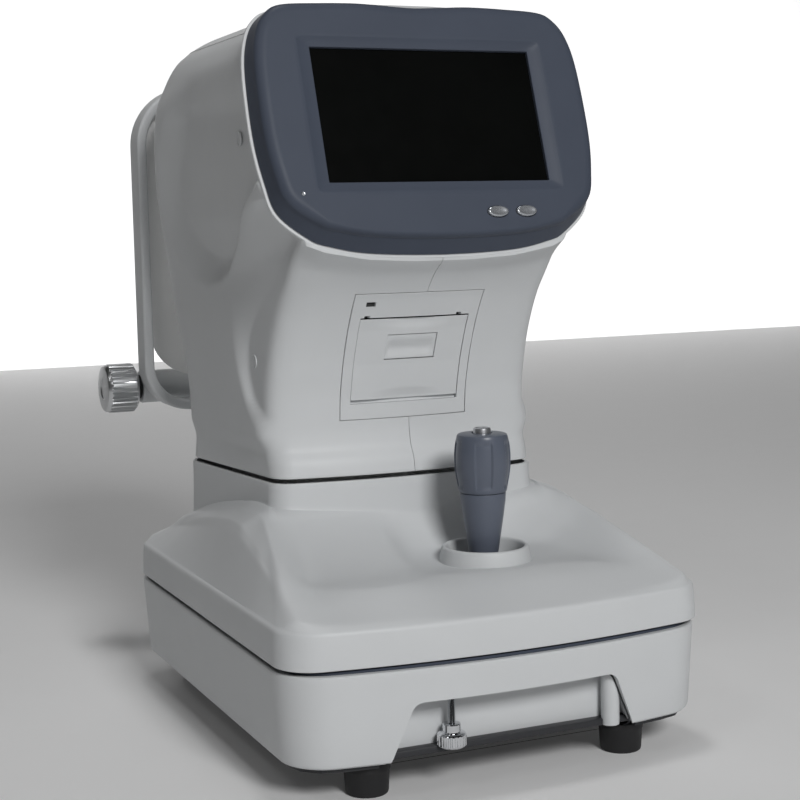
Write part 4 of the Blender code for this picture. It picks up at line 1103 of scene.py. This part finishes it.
def make_chinrest_bracket():
    outline = [(355.4, 30), (463.0, 30), (463.0, 228.0), (429.0, 228.0), (429.0, 54), (355.4, 54)]
    bracket = build("rest_bracket", *prism(outline, -24.0, 24.0, "X"))
    cut(bracket, *block(-9.5, 9.5, 446, 460, 110, 240))
    cut(bracket, *block(-10.5, 10.5, 431.5, 447, 201, 240))
    cut(bracket, *turned([(4.6, -30), (4.6, 14)], CHIN_AXIS, "X", 40))
    bevel(bracket, 1.6, 3, 50)
    show(bracket, "shell", "base", ("chinrest_bracket",), smooth=34)


def make_chin_drive():
    section = rounded([(13.0, -110.9), (13.0, -24.3), (4.6, -24.3), (4.6, -110.9)], 1.4, 4, closed=True)
    made = build("drive_bushing", *turned(section, CHIN_AXIS, "X", 72, hollow=True))
    show(made, "shell", "base", ("chin_bushing",), smooth=34)
    section = [(9.5, -112.6), (9.5, -111.2), (4.6, -111.2), (4.6, -112.6)]
    piece("drive_washer", turned(section, CHIN_AXIS, "X", 56, hollow=True), "rubber", "base", smooth=30)

    def knurl(angles, height):
        return 0.45 * np.sign(np.cos(30 * angles)) * (-137.0 < height < -117.8)

    profile = [(2.0, -140.4), (8.0, -140.4), (8.6, -141.0), (16.2, -141.0), (17.6, -140.6),
               (18.6, -139.4), (19.0, -137.6), (19.05, -136.9), (19.05, -117.9), (19.0, -117.2),
               (18.4, -116.6), (17.2, -115.4), (15.5, -115.0), (2.0, -115.0)]
    piece("lift_knob", turned(profile, CHIN_AXIS, "X", 240, flute=knurl),
          "steel", "chin_drive", ("chin_knob",), smooth=30)


def make_chin_cup():
    """Shallow moulded bowl for the chin, with a rolled edge."""
    shape = [(14, 9, 262.3), (15.5, 10, 262.4), (24, 13, 263.8), (33, 17, 268), (38, 19.4, 275),
             (40.6, 20.8, 281.5), (41, 21, 283.6), (40.4, 20.4, 284.9), (39.2, 19.2, 285.1),
             (38.2, 18.2, 284.2), (37.2, 17.2, 282), (35.4, 15.6, 279.4), (29, 12.6, 274.4),
             (20, 9, 270.4), (10, 4.5, 269.4)]
    a = 2 * np.pi * np.arange(96) / 96
    rings = []
    for half, deep, z in shape:
        rise = 2.5 * float(ease(268, 280, z))
        x = half * np.cos(a)
        rings.append(np.stack((x, 451 + deep * np.sin(a) + 0.0006 * x * x,
                               z + rise * np.cos(a) ** 2), axis=1))
    piece("chin_bowl", solid(rings), "cup", "chin_rest", ("chin_cup",), smooth=50)


# ---------------------------------------------------------------- rear of the head, power inlet

def make_window():
    profile = [(36.9, 356.0), (36.9, 370.6), (36.2, 371.8), (35.2, 372.0), (34.4, 374.4), (33.4, 375.0),
               (27.0, 375.0), (25.8, 374.2), (24.4, 370.0), (24.2, 356.0)]
    piece("sight_ring", turned(profile, (0, 0, OPTIC_Z), "Y", 120, hollow=True),
          "dark_metal", "head", ("window_ring",), smooth=30)
    a = np.radians(np.linspace(0, 26, 12))
    profile = [(23.4, 361.0), (23.4, 362.6)]
    profile += [(52 * math.sin(t), 362.6 + 52 * (math.cos(t) - math.cos(a[-1])))
                for t in a[::-1] if t > 0.02]
    piece("sight_lens", turned(profile, (0, 0, OPTIC_Z), "Y", 96),
          "lens", "head", ("objective_lens",), smooth=30)


def make_power_parts():
    inlet = build("inlet_body", *block(30.2, 84.8, 338, 356.0, 39.7, 60.3))
    cut(inlet, *block(56, 82, 344, 360, 42.5, 57.5))
    cut(inlet, *block(33, 49, 347.5, 360, 43, 57))
    bevel(inlet, 0.6, 3, 50)
    show(inlet, "inlet", "base", ("power_inlet",), smooth=34)
    for name, x, z in (("earth", 69.0, 53.6), ("live", 63.0, 47.6), ("neutral", 75.0, 47.6)):
        pin = build("inlet_pin_" + name, *block(x - 1.0, x + 1.0, 344.1, 352.0, z - 2.0, z + 2.0))
        bevel(pin, 0.35, 2)
        show(pin, "chrome", "base")
    rocker = [(349.3, 44.0), (354.0, 43.9), (356.2, 43.9), (355.2, 47.2), (354.9, 50.0),
              (355.2, 52.8), (356.2, 56.1), (354.0, 56.1), (349.3, 56.0)]
    made = build("rocker_cap", *prism(rocker, 33.7, 48.3, "X"))
    bevel(made, 0.4, 3, 40)
    show(made, "inlet", "power_switch", ("power_rocker",), smooth=40)


# ---------------------------------------------------------------- lights, floor, camera

# Area lights: name, place, target, size and power
LIGHTS = [("key", (-0.05, -2.8, 1.82), (0.0, 0.0, 0.22), 0.95, 58.0),
          ("overhead", (0.0, 0.10, 2.3), (0.0, 0.0, 0.1), 0.32, 6.0),
          ("fill", (-1.5, -0.9, 2.1), (0.0, 0.0, 0.3), 0.5, 2.5)]
SKY = 0.015
CAMERA_AT, CAMERA_LENS = (-0.45177, -1.0875, 0.34469), 74.06


def make_floor():
    """Floor of squares, and a wall behind it that glows on one side."""
    x = np.linspace(-6000, 6000, 25)
    rows = [[(a, b, 0.0) for a in x] for b in x]
    floor = build("floor", *skin(rows, around=False))
    floor.data.materials.append(paint("floor_paper", (0.80, 0.80, 0.80), 0.8, grain=300, relief=0.02,
                                      vary=0.004, glow=0.04))
    points = [(-4500, 3000, 0), (4500, 3000, 0), (4500, 3000, 2600), (-4500, 3000, 2600)]
    wall = build("backdrop", points, [(0, 1, 2, 3)])
    paper = paint("backdrop_paper", (0.93, 0.93, 0.93), 0.8, grain=300, relief=0.02, vary=0.004)
    tree = paper.node_tree
    where = tree.nodes.new("ShaderNodeTexCoord")
    away = tree.nodes.new("ShaderNodeVectorMath")
    away.operation = "DISTANCE"
    away.inputs[1].default_value = (1.35, FRONT + 3.0, 0.3)
    glow = tree.nodes.new("ShaderNodeMapRange")
    for key, value in (("From Min", 1.25), ("From Max", 2.3), ("To Min", 0.85), ("To Max", 0.02)):
        glow.inputs[key].default_value = value
    link(tree, where.outputs["Object"], away.inputs[0])
    link(tree, away.outputs["Value"], glow.inputs["Value"])
    link(tree, glow.outputs["Result"], tree.nodes["Principled BSDF"].inputs["Emission Strength"])
    wall.data.materials.append(paper)


def aim(item, target):
    item.rotation_euler = (Vector(target) - item.location).to_track_quat("-Z", "Y").to_euler()


def area_light(name, where, target, size, power):
    lamp = bpy.data.lights.new(name, "AREA")
    lamp.shape = "DISK"
    lamp.size = size
    lamp.energy = power
    made = bpy.data.objects.new(name, lamp)
    made.location = where
    bpy.context.scene.collection.objects.link(made)
    aim(made, target)


def make_lights():
    world = bpy.data.worlds.new("studio")
    bpy.context.scene.world = world
    world.use_nodes = True
    sky = world.node_tree.nodes["Background"]
    sky.inputs["Color"].default_value = (1.0, 1.0, 1.0, 1.0)
    sky.inputs["Strength"].default_value = SKY
    for light in LIGHTS:
        area_light(*light)
    bpy.context.scene.view_settings.view_transform = "Standard"


def make_camera():
    """Camera in front and to the operator's left, a little above the table."""
    azimuth, elevation, roll = math.radians(-23.80), math.radians(6.48), math.radians(-1.16)
    back = Vector((math.sin(azimuth) * math.cos(elevation), -math.cos(azimuth) * math.cos(elevation),
                   math.sin(elevation)))
    right = (-back).cross(Vector((0, 0, 1))).normalized()
    up = right.cross(-back)
    across = math.cos(roll) * right + math.sin(roll) * up
    high = -math.sin(roll) * right + math.cos(roll) * up
    lens = bpy.data.cameras.new("camera")
    lens.lens = CAMERA_LENS
    lens.sensor_width = 36.0
    lens.clip_end = 50
    made = bpy.data.objects.new("camera", lens)
    turn = Matrix((across, high, back)).transposed().to_4x4()
    made.matrix_world = Matrix.Translation(CAMERA_AT) @ turn
    bpy.context.scene.collection.objects.link(made)
    bpy.context.scene.camera = made


def finish_cad_nodes():
    """Give the CAD nodes that stay their materials, by their slot in the record."""
    for name, node in frame["nodes"].items():
        slot = SLOT_OF.get(name)
        made = MATERIALS.get(slot, MATERIALS["dark_metal"])
        for entry in (node if isinstance(node, (list, tuple)) else (node,)):
            entry.data.materials.clear()
            entry.data.materials.append(made)


SLOT_OF = {part["node"]: part["material_slot"] for part in frame["record"].get("subparts", [])}
MATERIALS = make_materials()
finish_cad_nodes()
make_side_shells()
make_top_cover()
make_screw_plugs()
make_bezel()
make_screen()
make_bezel_lip()
make_printer()
make_printer_groove()
make_stage_cover()
make_joystick()
make_base_tray()
make_screw_recess()
make_deck_lip()
make_lock_screw()
make_feet()
make_face_frame()
make_face_panel()
make_forehead_pad()
make_chinrest_bracket()
make_chin_drive()
make_chin_cup()
make_window()
make_power_parts()
make_floor()
make_lights()
make_camera()
